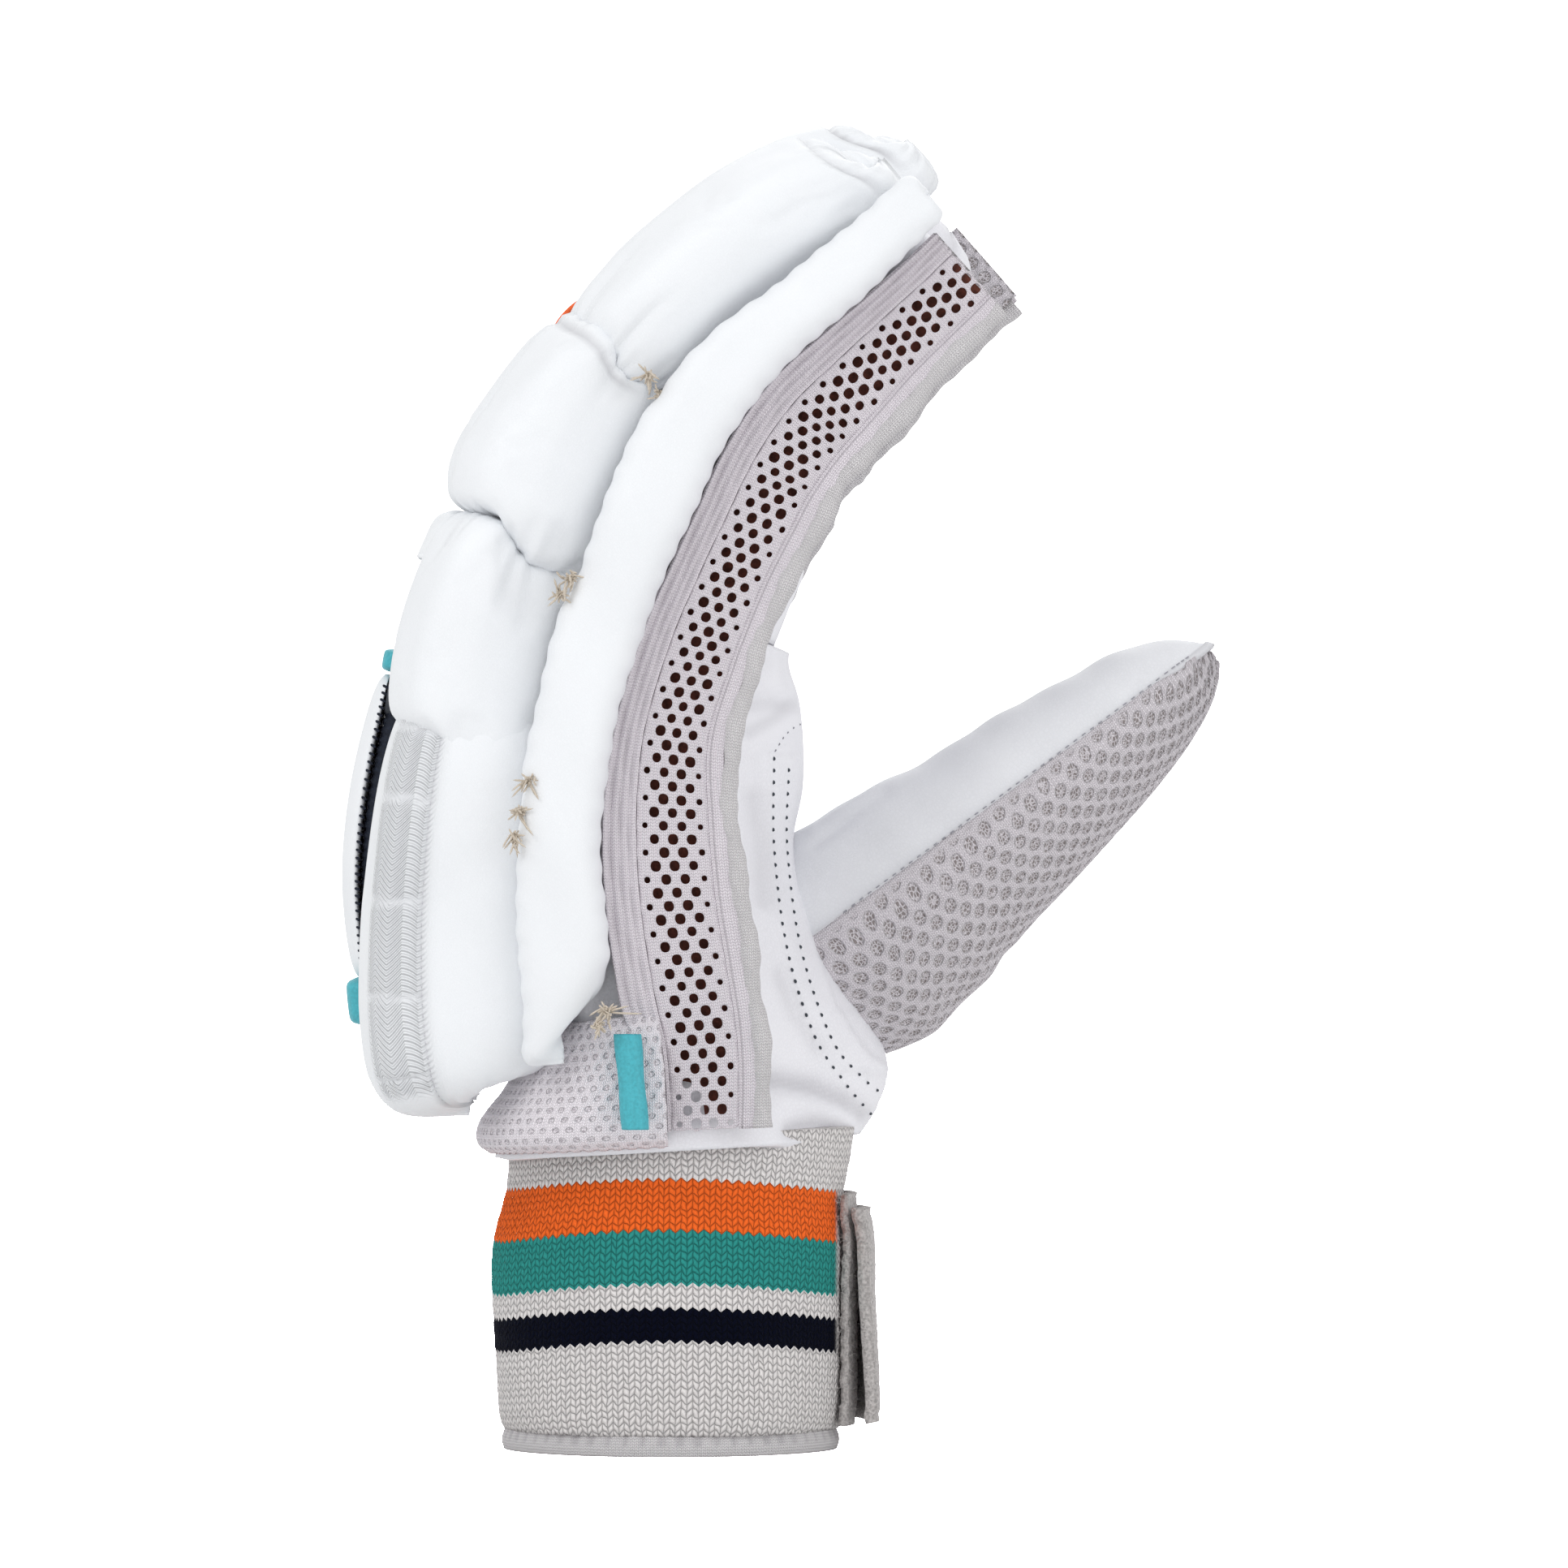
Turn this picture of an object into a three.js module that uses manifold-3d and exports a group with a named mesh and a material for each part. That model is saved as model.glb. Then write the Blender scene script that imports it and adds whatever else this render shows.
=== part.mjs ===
// A padded sport glove for the right hand, standing on its knitted cuff. Millimetres, +Z up.
// +X is the palm side, -X the back of the hand, -Y the little finger's side.
import * as THREE from 'three';
import { mergeVertices } from 'three/addons/utils/BufferGeometryUtils.js';
import Module from 'manifold-3d';

const wasm = await Module();
wasm.setup();

// Gaps and walls
const CLEARANCE = 0.3;
const LEATHER_WALL = 2;
const KNIT_WALL = 2.6;
const MESH_WALL = 1.6;
// Cut faces are joined where that moves them less than this.
const SMOOTHING = 0.15;

// The cuff, a round knitted band
const CUFF_DEPTH = 71.5;
const CUFF_BREADTH = 74;
const CUFF_TOP = 66;
const HEM_HEIGHT = 3.8;
const HEM_SETBACK = 1;
const HEM_WALL = 2;
const TAPE_THICKNESS = 1.6;
const TAPE_BOTTOM = 5;
const TAPE_HEIGHT = 47.5;
const TAB_THICKNESS = 2.4;
const TAB_BOTTOM = 6;
const TAB_HEIGHT = 43.5;
const TAB_FLARE = 4;

// The hand's centre line, from the wrist to the little finger's tip
const WRIST_HEIGHT = 62;
const HAND_RISE = 182.3;
const FINGER_REACH = 56.5;
const HAND_BREADTH = 92;
const HAND_DEPTH = 38;
const THUMB_MOUND = 46;

// The padding
const PAD_REACH = 58;
const FINGER_COUNT = 4;
const ROLL_WIDTH = 17.4;
const ROLL_THICKNESS = 13;
const BLOCK_BREADTH = 33;
const BLOCK_REACH = 60;
const PANEL_REACH = 63.2;
const PANEL_BREADTH = 34;
const PANEL_SKIN = 4;
const BORDER_THICKNESS = 6;
const PATCH_THICKNESS = 1;
const PATCH_BREADTH = 12;
const PATCH_LENGTH = 7;

// The eyelet strip and its trim
const EYELET_ROW_PAIRS = 14;
const EYELET_WIDTH = 3.6;
const HEM_ROLL_WIDTH = 3.6;
const TUBE_WIDTH = 5.5;
const TUBE_BORE = 3.1;
const TUBE_LENGTH = 19.2;
const HEEL_BULGE = 4.6;

// The thumb
const THUMB_LENGTH = 94;
const THUMB_DEPTH = 48;
const THUMB_BREADTH = 36;
const THUMB_RISE_DEGREES = 36.5;
const THUMB_BASE_OUT = 38;
const THUMB_BASE_HEIGHT = 105;
const THUMB_BASE_SIDE = 20;
const THUMB_TIP_SIDE = 13;
const THUMB_SEAM = 5.4;
const THUMB_PAD_THICKNESS = 13;
const THUMB_PAD_FROM = 0.16;
const THUMB_PAD_TO = 0.92;
const THUMB_PAD_HEIGHT = 0.86;
const THUMB_PAD_SEAT = 0.72;

const SIDES = { palm: 20, stall: 10, pad: 10, cuff: 20, thumb: 12, tube: 8 };

function paint(color, roughness) {
  return new THREE.MeshStandardMaterial({ color, roughness, metalness: 0 });
}

const paints = {
  leather: paint(0xdcdee0, 0.5),
  palmLeather: paint(0xd2d3d6, 0.6),
  mesh: paint(0xe2dee4, 0.85),
  knit: paint(0xdcd8d5, 0.95),
  navy: paint(0x0a1224, 0.8),
  teal: paint(0x58c4cb, 0.45),
  orange: paint(0xff6a2a, 0.6),
  tape: paint(0xbfbab6, 0.95),
};

const glove = new THREE.Group();

function addPiece(name, geometry, material) {
  const mesh = new THREE.Mesh(geometry, material);
  mesh.name = name;
  glove.add(mesh);
}

// Tables and sections

// Reads a column of a table at a share, with a smooth cubic between its rows.
function readTable(rows, column, share) {
  const last = rows.length - 1;
  if (share <= rows[0].at) return rows[0][column];
  if (share >= rows[last].at) return rows[last][column];
  const next = rows.findIndex((row) => row.at >= share);
  const before = rows[Math.max(next - 2, 0)];
  const from = rows[next - 1];
  const to = rows[next];
  const after = rows[Math.min(next + 1, last)];
  const span = to.at - from.at;
  const t = (share - from.at) / span;
  const slopeFrom = ((to[column] - before[column]) / (to.at - before.at)) * span;
  const slopeTo = ((after[column] - from[column]) / (after.at - from.at)) * span;
  const t2 = t * t;
  const t3 = t2 * t;
  return (2 * t3 - 3 * t2 + 1) * from[column] + (t3 - 2 * t2 + t) * slopeFrom
    + (3 * t2 - 2 * t3) * to[column] + (t3 - t2) * slopeTo;
}

// A rounded oval, as pairs of shares of its two half widths.
function oval(count, power) {
  const pairs = [];
  for (let i = 0; i < count; i += 1) {
    const angle = (i / count) * 2 * Math.PI;
    const c = Math.cos(angle);
    const s = Math.sin(angle);
    pairs.push([Math.sign(c) * Math.abs(c) ** (2 / power), Math.sign(s) * Math.abs(s) ** (2 / power)]);
  }
  return pairs;
}

function signedVolume(positions, index) {
  const a = new THREE.Vector3();
  const b = new THREE.Vector3();
  const c = new THREE.Vector3();
  let volume = 0;
  for (let i = 0; i < index.length; i += 3) {
    a.fromArray(positions, index[i] * 3);
    b.fromArray(positions, index[i + 1] * 3);
    c.fromArray(positions, index[i + 2] * 3);
    volume += a.dot(b.cross(c)) / 6;
  }
  return volume;
}

function closedGeometry(positions, index) {
  const faces = signedVolume(positions, index) < 0 ? index.slice().reverse() : index;
  const geometry = new THREE.BufferGeometry();
  geometry.setAttribute('position', new THREE.Float32BufferAttribute(positions, 3));
  geometry.setIndex(faces);
  return geometry;
}

// A closed skin over rings of equal count: capped at both ends, or looped back on its first ring.
function skin(rings, looped = false) {
  const around = rings[0].length;
  const points = rings.flat();
  const index = [];
  const bands = looped ? rings.length : rings.length - 1;
  for (let band = 0; band < bands; band += 1) {
    const low = band * around;
    const high = ((band + 1) % rings.length) * around;
    for (let i = 0; i < around; i += 1) {
      const j = (i + 1) % around;
      index.push(low + i, low + j, high + j, low + i, high + j, high + i);
    }
  }
  if (!looped) {
    const lastLow = (rings.length - 1) * around;
    const ends = [[rings[0], 0, true], [rings[rings.length - 1], lastLow, false]];
    for (const [ring, start, turned] of ends) {
      const middle = ring.reduce((sum, p) => sum.add(p), new THREE.Vector3()).divideScalar(around);
      const hub = points.length;
      points.push(middle);
      for (let i = 0; i < around; i += 1) {
        const j = (i + 1) % around;
        index.push(...(turned ? [hub, start + j, start + i] : [hub, start + i, start + j]));
      }
    }
  }
  return closedGeometry(points.flatMap((p) => [p.x, p.y, p.z]), index);
}

// Cutting and joining

function toManifold(geometry) {
  const bare = geometry.clone();
  bare.deleteAttribute('normal');
  bare.deleteAttribute('uv');
  const merged = mergeVertices(bare, 1e-4);
  return new wasm.Manifold(new wasm.Mesh({
    numProp: 3,
    vertProperties: new Float32Array(merged.attributes.position.array),
    triVerts: new Uint32Array(merged.index.array),
  }));
}

function fromManifold(body) {
  const mesh = body.getMesh();
  const geometry = new THREE.BufferGeometry();
  geometry.setAttribute('position', new THREE.Float32BufferAttribute(mesh.vertProperties, 3));
  geometry.setIndex(Array.from(mesh.triVerts));
  return geometry;
}

// Keeps the largest of the bodies that a cut leaves, without crumbs.
function largest(body) {
  const parts = body.decompose();
  return parts.reduce((best, part) => (part.volume() > best.volume() ? part : best));
}

function cutAway(geometry, cutters) {
  let body = toManifold(geometry);
  for (const cutter of cutters) {
    body = body.subtract(toManifold(cutter));
  }
  return fromManifold(largest(body).simplify(SMOOTHING));
}

// The centre line of the hand

const centreRows = [
  { rise: 0, reach: 0 },
  { rise: 0.099, reach: -0.018 },
  { rise: 0.194, reach: -0.053 },
  { rise: 0.285, reach: -0.076 },
  { rise: 0.377, reach: -0.076 },
  { rise: 0.468, reach: -0.041 },
  { rise: 0.56, reach: 0.018 },
  { rise: 0.637, reach: 0.101 },
  { rise: 0.708, reach: 0.189 },
  { rise: 0.773, reach: 0.276 },
  { rise: 0.838, reach: 0.412 },
  { rise: 0.896, reach: 0.611 },
  { rise: 0.967, reach: 0.88 },
  { rise: 1, reach: 1 },
];

const centreLine = new THREE.CatmullRomCurve3(
  centreRows.map((row) => new THREE.Vector3(row.reach * FINGER_REACH, 0, WRIST_HEIGHT + row.rise * HAND_RISE)),
  false,
  'catmullrom',
  0.5,
);
centreLine.arcLengthDivisions = 800;
const LINE_LENGTH = centreLine.getLength();

// A point at a share of the centre line, so far towards the palm and so far to the side.
function place(share, across, side) {
  const inside = THREE.MathUtils.clamp(share, 0, 1);
  const tangent = centreLine.getTangentAt(inside);
  const palmward = new THREE.Vector3(tangent.z, 0, -tangent.x);
  return centreLine.getPointAt(inside)
    .addScaledVector(tangent, (share - inside) * LINE_LENGTH)
    .addScaledVector(palmward, across)
    .setY(side);
}

function shares(from, to, steps) {
  return Array.from({ length: steps + 1 }, (_, i) => from + ((to - from) * i) / steps);
}

// The hollow hand

// half, back, near and thumb are shares of the half breadth, the half depth twice, and the thumb's mound.
const palmRows = [
  { at: 0, half: 0.845, back: 1.9, near: 1.5, thumb: 0.86 },
  { at: 0.03, half: 0.87, back: 1.76, near: 1.3, thumb: 0.95 },
  { at: 0.065, half: 0.9, back: 1.5, near: 1.16, thumb: 1 },
  { at: 0.1, half: 0.92, back: 1.32, near: 1.12, thumb: 0.955 },
  { at: 0.15, half: 0.95, back: 1.18, near: 1.12, thumb: 0.83 },
  { at: 0.22, half: 0.98, back: 1.05, near: 1.06, thumb: 0.72 },
  { at: 0.3, half: 1, back: 1, near: 1, thumb: 0.655 },
  { at: 0.38, half: 1, back: 1, near: 0.98, thumb: 0.68 },
  { at: 0.43, half: 1, back: 1, near: 0.94, thumb: 0.655 },
  { at: 0.48, half: 1, back: 1, near: 0.95, thumb: 0.6 },
  { at: 0.535, half: 1, back: 1, near: 0.98, thumb: 0.5 },
  { at: 0.7, half: 1, back: 1, near: 1, thumb: 0.42 },
  { at: 0.9, half: 0.96, back: 0.92, near: 0.94, thumb: 0.4 },
  { at: 1.04, half: 0.86, back: 0.8, near: 0.85, thumb: 0.38 },
];
const PALM_END = 0.54;
const PALM_POWER = 3;

function halfBreadth(share) {
  return (readTable(palmRows, 'half', share) * HAND_BREADTH) / 2;
}

function palmPoint(share, pair, grow) {
  const [u, v] = pair;
  const half = halfBreadth(share) + grow;
  const back = (readTable(palmRows, 'back', share) * HAND_DEPTH) / 2 + grow;
  const near = (readTable(palmRows, 'near', share) * HAND_DEPTH) / 2 + grow;
  const thumb = readTable(palmRows, 'thumb', share) * THUMB_MOUND + grow;
  const blend = THREE.MathUtils.smoothstep(u, -0.9, 0.35);
  const front = near + (thumb - near) * blend;
  return place(share, v < 0 ? v * back : v * front, u * half);
}

function palmRing(share, grow) {
  return oval(SIDES.palm, PALM_POWER).map((pair) => palmPoint(share, pair, grow));
}

const palmShares = [0, 0.012, 0.03, 0.065, 0.13, 0.22, 0.33, 0.44, PALM_END];

function palmSolid(grow, from = 0, to = PALM_END) {
  const inside = palmShares.filter((share) => share > from + 0.001 && share < to - 0.001);
  return skin([from, ...inside, to].map((share) => palmRing(share, grow)));
}

// The finger stalls: depth, breadth and shift to the back are shares of the hand's depth and one finger's width.
const FINGER_PITCH = HAND_BREADTH / FINGER_COUNT;
const stallRows = [
  { at: 0, depth: 1, breadth: 1 },
  { at: 0.4, depth: 1, breadth: 1 },
  { at: 0.7, depth: 0.95, breadth: 0.98 },
  { at: 0.88, depth: 0.8, breadth: 0.9 },
  { at: 0.96, depth: 0.58, breadth: 0.72 },
  { at: 1, depth: 0.28, breadth: 0.4 },
];
const fingers = [
  { name: 'little', column: 0, length: 1, tip: 0, back: 0, turn: -22, low: 0 },
  { name: 'ring', column: 1, length: 1.02, tip: 0.035, back: 0.1, turn: -7, low: 0.13 },
  { name: 'middle', column: 2, length: 1.02, tip: 0.04, back: 0.1, turn: 7, low: 0.13 },
  { name: 'index', column: 3, length: 1.01, tip: 0.02, back: 0.04, turn: 22, low: 0.06 },
];
const STALL_START = PALM_END + CLEARANCE / LINE_LENGTH;
const STALL_POWER = 3.2;

function stallSide(finger, share) {
  const across = (finger.column - (FINGER_COUNT - 1) / 2) * FINGER_PITCH;
  return (across * halfBreadth(share) * 2) / HAND_BREADTH;
}

function stallRing(finger, along, grow) {
  const share = STALL_START + (finger.length - STALL_START) * along;
  const halfDepth = (readTable(stallRows, 'depth', along) * HAND_DEPTH) / 2 + grow;
  const pitch = FINGER_PITCH * (halfBreadth(share) * 2) / HAND_BREADTH;
  const half = (readTable(stallRows, 'breadth', along) * pitch) / 2 - CLEARANCE / 2 + grow;
  const shift = finger.back * HAND_DEPTH * THREE.MathUtils.smoothstep(along, 0, 0.3);
  return oval(SIDES.stall, STALL_POWER)
    .map(([u, v]) => place(share, v * halfDepth - shift, stallSide(finger, share) + u * half));
}

const stallStops = [0, 0.2, 0.38, 0.55, 0.75, 0.9, 0.97, 1];

function stallSolid(finger, grow) {
  return skin(stallStops.map((along) => stallRing(finger, along, grow)));
}

function stallShell(finger) {
  const outer = stallStops.map((along) => stallRing(finger, along, 0));
  const innerStops = stallStops.slice(0, -2);
  const inner = innerStops.map((along) => stallRing(finger, along, -LEATHER_WALL));
  return skin([...inner.reverse(), ...outer]);
}

// The side strips. start and end are the strip's edges across, as shares of the half depth.
const stripRows = [
  { at: 0.02, start: -0.28, end: 0.9 },
  { at: 0.1, start: -0.3, end: 0.96 },
  { at: 0.16, start: -0.38, end: 0.96 },
  { at: 0.25, start: -0.44, end: 0.89 },
  { at: 0.34, start: -0.46, end: 0.81 },
  { at: 0.42, start: -0.44, end: 0.7 },
  { at: 0.5, start: -0.36, end: 0.78 },
  { at: 0.6, start: -0.27, end: 0.83 },
  { at: 0.7, start: -0.21, end: 0.94 },
  { at: 0.8, start: -0.18, end: 0.985 },
  { at: 0.9, start: -0.17, end: 0.85 },
  { at: 1.0, start: -0.2, end: 0.77 },
];
const STRIP_FROM = 0.02;
const STRIP_TO = 1;
const WINDOW_MARGIN = 2.4;
const WINDOW_FROM = 0.11;
const WINDOW_TO = 0.94;
const WINDOW_DEEPEST = 0.36;
const WINDOW_INSET = 5.2;
// The strip's hem flares away from the hand.
const STRIP_FLARE = 2.4;

function stripAcross(share, width) {
  const start = (readTable(stripRows, 'start', share) * HAND_DEPTH) / 2;
  const end = (readTable(stripRows, 'end', share) * HAND_DEPTH) / 2;
  return start + (end - start) * width;
}

function stripSide(share, width, out) {
  return halfBreadth(share) + CLEARANCE + STRIP_FLARE * width ** 3 + out;
}

// The opening in the hand's wall behind the eyelets.
function windowSolid() {
  const rings = shares(WINDOW_FROM, WINDOW_TO, 16).map((share) => {
    const low = stripAcross(share, 0) + WINDOW_MARGIN;
    const high = Math.min(stripAcross(share, 1) - WINDOW_MARGIN, HAND_DEPTH * WINDOW_DEEPEST);
    const inner = -halfBreadth(share) + WINDOW_INSET;
    const outer = -halfBreadth(share) - LEATHER_WALL;
    return [place(share, low, inner), place(share, high, inner), place(share, high, outer), place(share, low, outer)];
  });
  return skin(rings);
}

// The thumb: up and down are shares of the half depth, wide of the half breadth.
const thumbRows = [
  { at: -0.2, up: 0.86, down: 0.86, wide: 1 },
  { at: 0, up: 1.02, down: 1.08, wide: 1.06 },
  { at: 0.1, up: 1, down: 1.02, wide: 1.02 },
  { at: 0.21, up: 0.95, down: 0.97, wide: 0.98 },
  { at: 0.31, up: 0.87, down: 0.85, wide: 0.94 },
  { at: 0.45, up: 0.83, down: 0.75, wide: 0.9 },
  { at: 0.58, up: 0.77, down: 0.65, wide: 0.84 },
  { at: 0.72, up: 0.7, down: 0.53, wide: 0.76 },
  { at: 0.84, up: 0.61, down: 0.39, wide: 0.64 },
  { at: 0.93, up: 0.46, down: 0.23, wide: 0.48 },
  { at: 0.98, up: 0.32, down: 0.08, wide: 0.28 },
  { at: 1, up: 0.22, down: -0.02, wide: 0.16 },
];
const thumbRise = THREE.MathUtils.degToRad(THUMB_RISE_DEGREES);
const thumbOut = new THREE.Vector3(Math.cos(thumbRise), 0, Math.sin(thumbRise));
const thumbUp = new THREE.Vector3(-Math.sin(thumbRise), 0, Math.cos(thumbRise));

function thumbPlace(along, up, side) {
  const middle = THUMB_BASE_SIDE + (THUMB_TIP_SIDE - THUMB_BASE_SIDE) * along;
  return new THREE.Vector3(THUMB_BASE_OUT, middle + side, THUMB_BASE_HEIGHT)
    .addScaledVector(thumbOut, along * THUMB_LENGTH)
    .addScaledVector(thumbUp, up);
}

function thumbRing(along, grow) {
  const up = (readTable(thumbRows, 'up', along) * THUMB_DEPTH) / 2 + grow;
  const down = (readTable(thumbRows, 'down', along) * THUMB_DEPTH) / 2 + grow;
  const wide = (readTable(thumbRows, 'wide', along) * THUMB_BREADTH) / 2 + grow;
  const middle = (up - down) / 2;
  const half = (up + down) / 2;
  return oval(SIDES.thumb, 2.4).map(([u, v]) => thumbPlace(along, middle + v * half, u * wide));
}

function thumbSolid(grow, to = 1) {
  const stops = thumbRows.map((row) => row.at).filter((at) => at <= to);
  return skin(stops.map((along) => thumbRing(along, grow)));
}

// A block on one side of the thumb's seam, above it or below it.
function thumbHalfSpace(above) {
  const reach = THUMB_LENGTH * 3;
  const box = new THREE.BoxGeometry(reach, reach, reach);
  const offset = above * (reach / 2 + CLEARANCE / 2);
  box.rotateY(-thumbRise);
  const middle = thumbPlace(0.5, THUMB_SEAM + offset, 0);
  box.translate(middle.x, middle.y, middle.z);
  return box;
}

// Padded rolls

// How far a roll keeps its full section on its way from the middle, 0, to an end, 1.
function roundEnd(swing, power) {
  return (1 - Math.abs(swing) ** power) ** (1 / power);
}

const PAD_END_POWER = 8;
const LEAN_SPAN = 0.14;
const BLOCK_END_POWER = 4.5;
const ROLL_END_POWER = 14;
const END_REACH = 0.985;

// A closed roll between two shares, whose section table is scaled down to round ends. A section's
// lean is how far its palm side stands above its back, in millimetres.
function padRings(from, to, section, grow, stations, endPower) {
  const rings = [];
  for (let i = 0; i <= stations; i += 1) {
    const swing = -Math.cos((i / stations) * Math.PI);
    const share = (from + to) / 2 + (swing * END_REACH * (to - from + (2 * grow) / LINE_LENGTH)) / 2;
    const size = roundEnd(swing * END_REACH, endPower);
    const { across, side, thick, broad, turn, power, lean = 0 } = section(share);
    const angle = THREE.MathUtils.degToRad(turn);
    rings.push(oval(SIDES.pad, power).map(([u, v]) => {
      const a = u * (broad + grow) * size;
      const b = v * (thick + grow) * size;
      return place(
        share + ((v + 1) * lean) / 2 / LINE_LENGTH,
        across + a * Math.sin(angle) + b * Math.cos(angle),
        side + a * Math.cos(angle) - b * Math.sin(angle),
      );
    }));
  }
  return rings;
}

// The pads' outer line along a finger, as shares of the pads' reach.
const padRows = [
  { at: 0.33, reach: 0.97, under: 0.34 },
  { at: 0.45, reach: 0.985, under: 0.34 },
  { at: 0.54, reach: 0.955, under: 0.34 },
  { at: 0.6, reach: 0.965, under: 0.34 },
  { at: 0.67, reach: 0.915, under: 0.34 },
  { at: 0.72, reach: 0.845, under: 0.33 },
  { at: 0.78, reach: 0.785, under: 0.31 },
  { at: 0.88, reach: 0.76, under: 0.28 },
  { at: 0.97, reach: 0.7, under: 0.22 },
  { at: 1.05, reach: 0.62, under: 0.12 },
];
const padJoints = [0.345, 0.54, 0.722, 1.005];
const padNames = ['low', 'mid', 'tip'];
const NEAR_PAD_DROP = 3.4;
const OUTER_TURN = 22;
const PAD_SPREAD = 1.03;
const PAD_PRESS = 1.04;
const PAD_TIP_SHRINK = 0.22;

function fingerPadSection(finger) {
  const outer = Math.abs(finger.turn) / OUTER_TURN;
  return (share) => {
    const reach = readTable(padRows, 'reach', share) * PAD_REACH - NEAR_PAD_DROP * outer;
    const under = readTable(padRows, 'under', share) * PAD_REACH;
    const shrink = 1 - PAD_TIP_SHRINK * THREE.MathUtils.smoothstep(share, 0.85, 1.05);
    return {
      across: -(reach + under) / 2,
      side: stallSide(finger, share) * PAD_SPREAD,
      thick: (reach - under) / 2,
      broad: (FINGER_PITCH / 2 - CLEARANCE / 2) * PAD_PRESS * shrink,
      turn: finger.turn,
      power: 2.8,
    };
  };
}

function fingerPadRings(finger, part, grow) {
  const from = padJoints[part] + (part === 0 ? finger.low : 0);
  const to = padJoints[part + 1] + (part === 2 ? finger.tip : 0);
  const gap = CLEARANCE / 2 / LINE_LENGTH;
  return padRings(from + gap, to - gap, fingerPadSection(finger), grow, 6, PAD_END_POWER);
}

// The side roll: middle is a share of the half depth, width and thickness of the roll's own sizes.
const rollRows = [
  { at: 0.08, middle: -1.08, width: 1.1, thick: 0.9 },
  { at: 0.16, middle: -0.93, width: 1.05, thick: 1 },
  { at: 0.3, middle: -0.93, width: 0.98, thick: 1 },
  { at: 0.45, middle: -0.84, width: 0.95, thick: 1 },
  { at: 0.6, middle: -0.75, width: 0.98, thick: 1 },
  { at: 0.7, middle: -0.69, width: 1.02, thick: 1 },
  { at: 0.78, middle: -0.6, width: 0.86, thick: 0.96 },
  { at: 0.9, middle: -0.54, width: 0.74, thick: 0.86 },
  { at: 1.03, middle: -0.58, width: 0.7, thick: 0.7 },
];
const ROLL_FROM = 0.1;
const ROLL_TO = 1.02;
const ROLL_OUT = 0.32;
const ROLL_LEAN = 12;

function rollSection(share) {
  return {
    across: (readTable(rollRows, 'middle', share) * HAND_DEPTH) / 2,
    side: -(halfBreadth(share) + ROLL_THICKNESS * ROLL_OUT),
    thick: (readTable(rollRows, 'width', share) * ROLL_WIDTH) / 2,
    broad: (readTable(rollRows, 'thick', share) * ROLL_THICKNESS) / 2,
    turn: 0,
    power: 2.6,
    lean: ROLL_LEAN * (1 - THREE.MathUtils.smoothstep(share, ROLL_FROM, ROLL_FROM + LEAN_SPAN)),
  };
}

function rollRings(grow) {
  return padRings(ROLL_FROM, ROLL_TO, rollSection, grow, 13, ROLL_END_POWER);
}

// The blocks on the back of the hand
const blocks = [
  { name: 'back_pad_near', side: -0.68, from: 0.047, to: 0.44, reach: 1, breadth: 1, turn: -6, lean: 8 },
  { name: 'back_pad_middle', side: 0, from: 0.15, to: 0.47, reach: 0.9, breadth: 1.02, turn: 0, lean: 0 },
  { name: 'back_pad_far', side: 0.68, from: 0.055, to: 0.44, reach: 1, breadth: 1, turn: 6, lean: 8 },
];
// How far the blocks sink towards the fingers.
const BLOCK_SLOPE = 6;

function blockSection(block) {
  return (share) => {
    const reach = block.reach * BLOCK_REACH - BLOCK_SLOPE * THREE.MathUtils.smoothstep(share, 0.12, 0.42);
    const under = HAND_DEPTH * 0.5;
    return {
      across: -(reach + under) / 2,
      side: block.side * halfBreadth(share),
      thick: (reach - under) / 2,
      broad: (BLOCK_BREADTH / 2) * block.breadth,
      turn: block.turn,
      power: 3.4,
      lean: block.lean * (1 - THREE.MathUtils.smoothstep(share, block.from, block.from + LEAN_SPAN)),
    };
  };
}

function blockRings(block, grow) {
  return padRings(block.from, block.to, blockSection(block), grow, 6, BLOCK_END_POWER);
}

// The raised panel: a plate bent over the middle block, between two depths.
const PANEL_FROM = 0.197;
const PANEL_TO = 0.433;
const PANEL_NARROWING = 0.16;
const PANEL_SLOPE = 3;
const PANEL_EDGE = 0.96;
const FACE_DOME = 1.2;
const BORDER_DOME = 0.4;
const TRIM_DOME = 0.2;
const TRIM_BREADTH = 0.8;
const TRIM_SETBACK = 2;

function panelPlate(outer, inner, breadth, from, to, dome) {
  const rings = shares(from, to, 8).map((share) => {
    const t = (share - from) / (to - from);
    const crown = dome * (1 - (2 * t - 1) ** 2) - dome;
    const round = 1 - PANEL_NARROWING * (2 * t - 1) ** 4;
    const half = (breadth / 2) * round;
    const drop = PANEL_SLOPE * THREE.MathUtils.smoothstep(share, 0.26, 0.43);
    return [
      place(share, -inner + drop, -half),
      place(share, -inner + drop, half),
      place(share, -outer - crown + drop, half * PANEL_EDGE),
      place(share, -outer - crown - dome * 0.3 + drop, 0),
      place(share, -outer - crown + drop, -half * PANEL_EDGE),
    ];
  });
  return skin(rings);
}

// Cuff, hem, tape and tab

// front, back and side are the band's reach to the palm side, the back and both sides, as shares of
// its half depth and half breadth.
const cuffRows = [
  { at: 0, front: 0.985, back: 0.985, side: 0.99 },
  { at: 0.1, front: 1, back: 1, side: 1 },
  { at: 0.45, front: 1.005, back: 1.02, side: 1.01 },
  { at: 0.62, front: 1.015, back: 1.01, side: 1 },
  { at: 0.78, front: 1, back: 0.945, side: 0.96 },
  { at: 0.9, front: 1.03, back: 0.93, side: 0.955 },
  { at: 1, front: 1.05, back: 0.935, side: 0.96 },
];
const CUFF_BOTTOM = HEM_HEIGHT + CLEARANCE;

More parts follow.
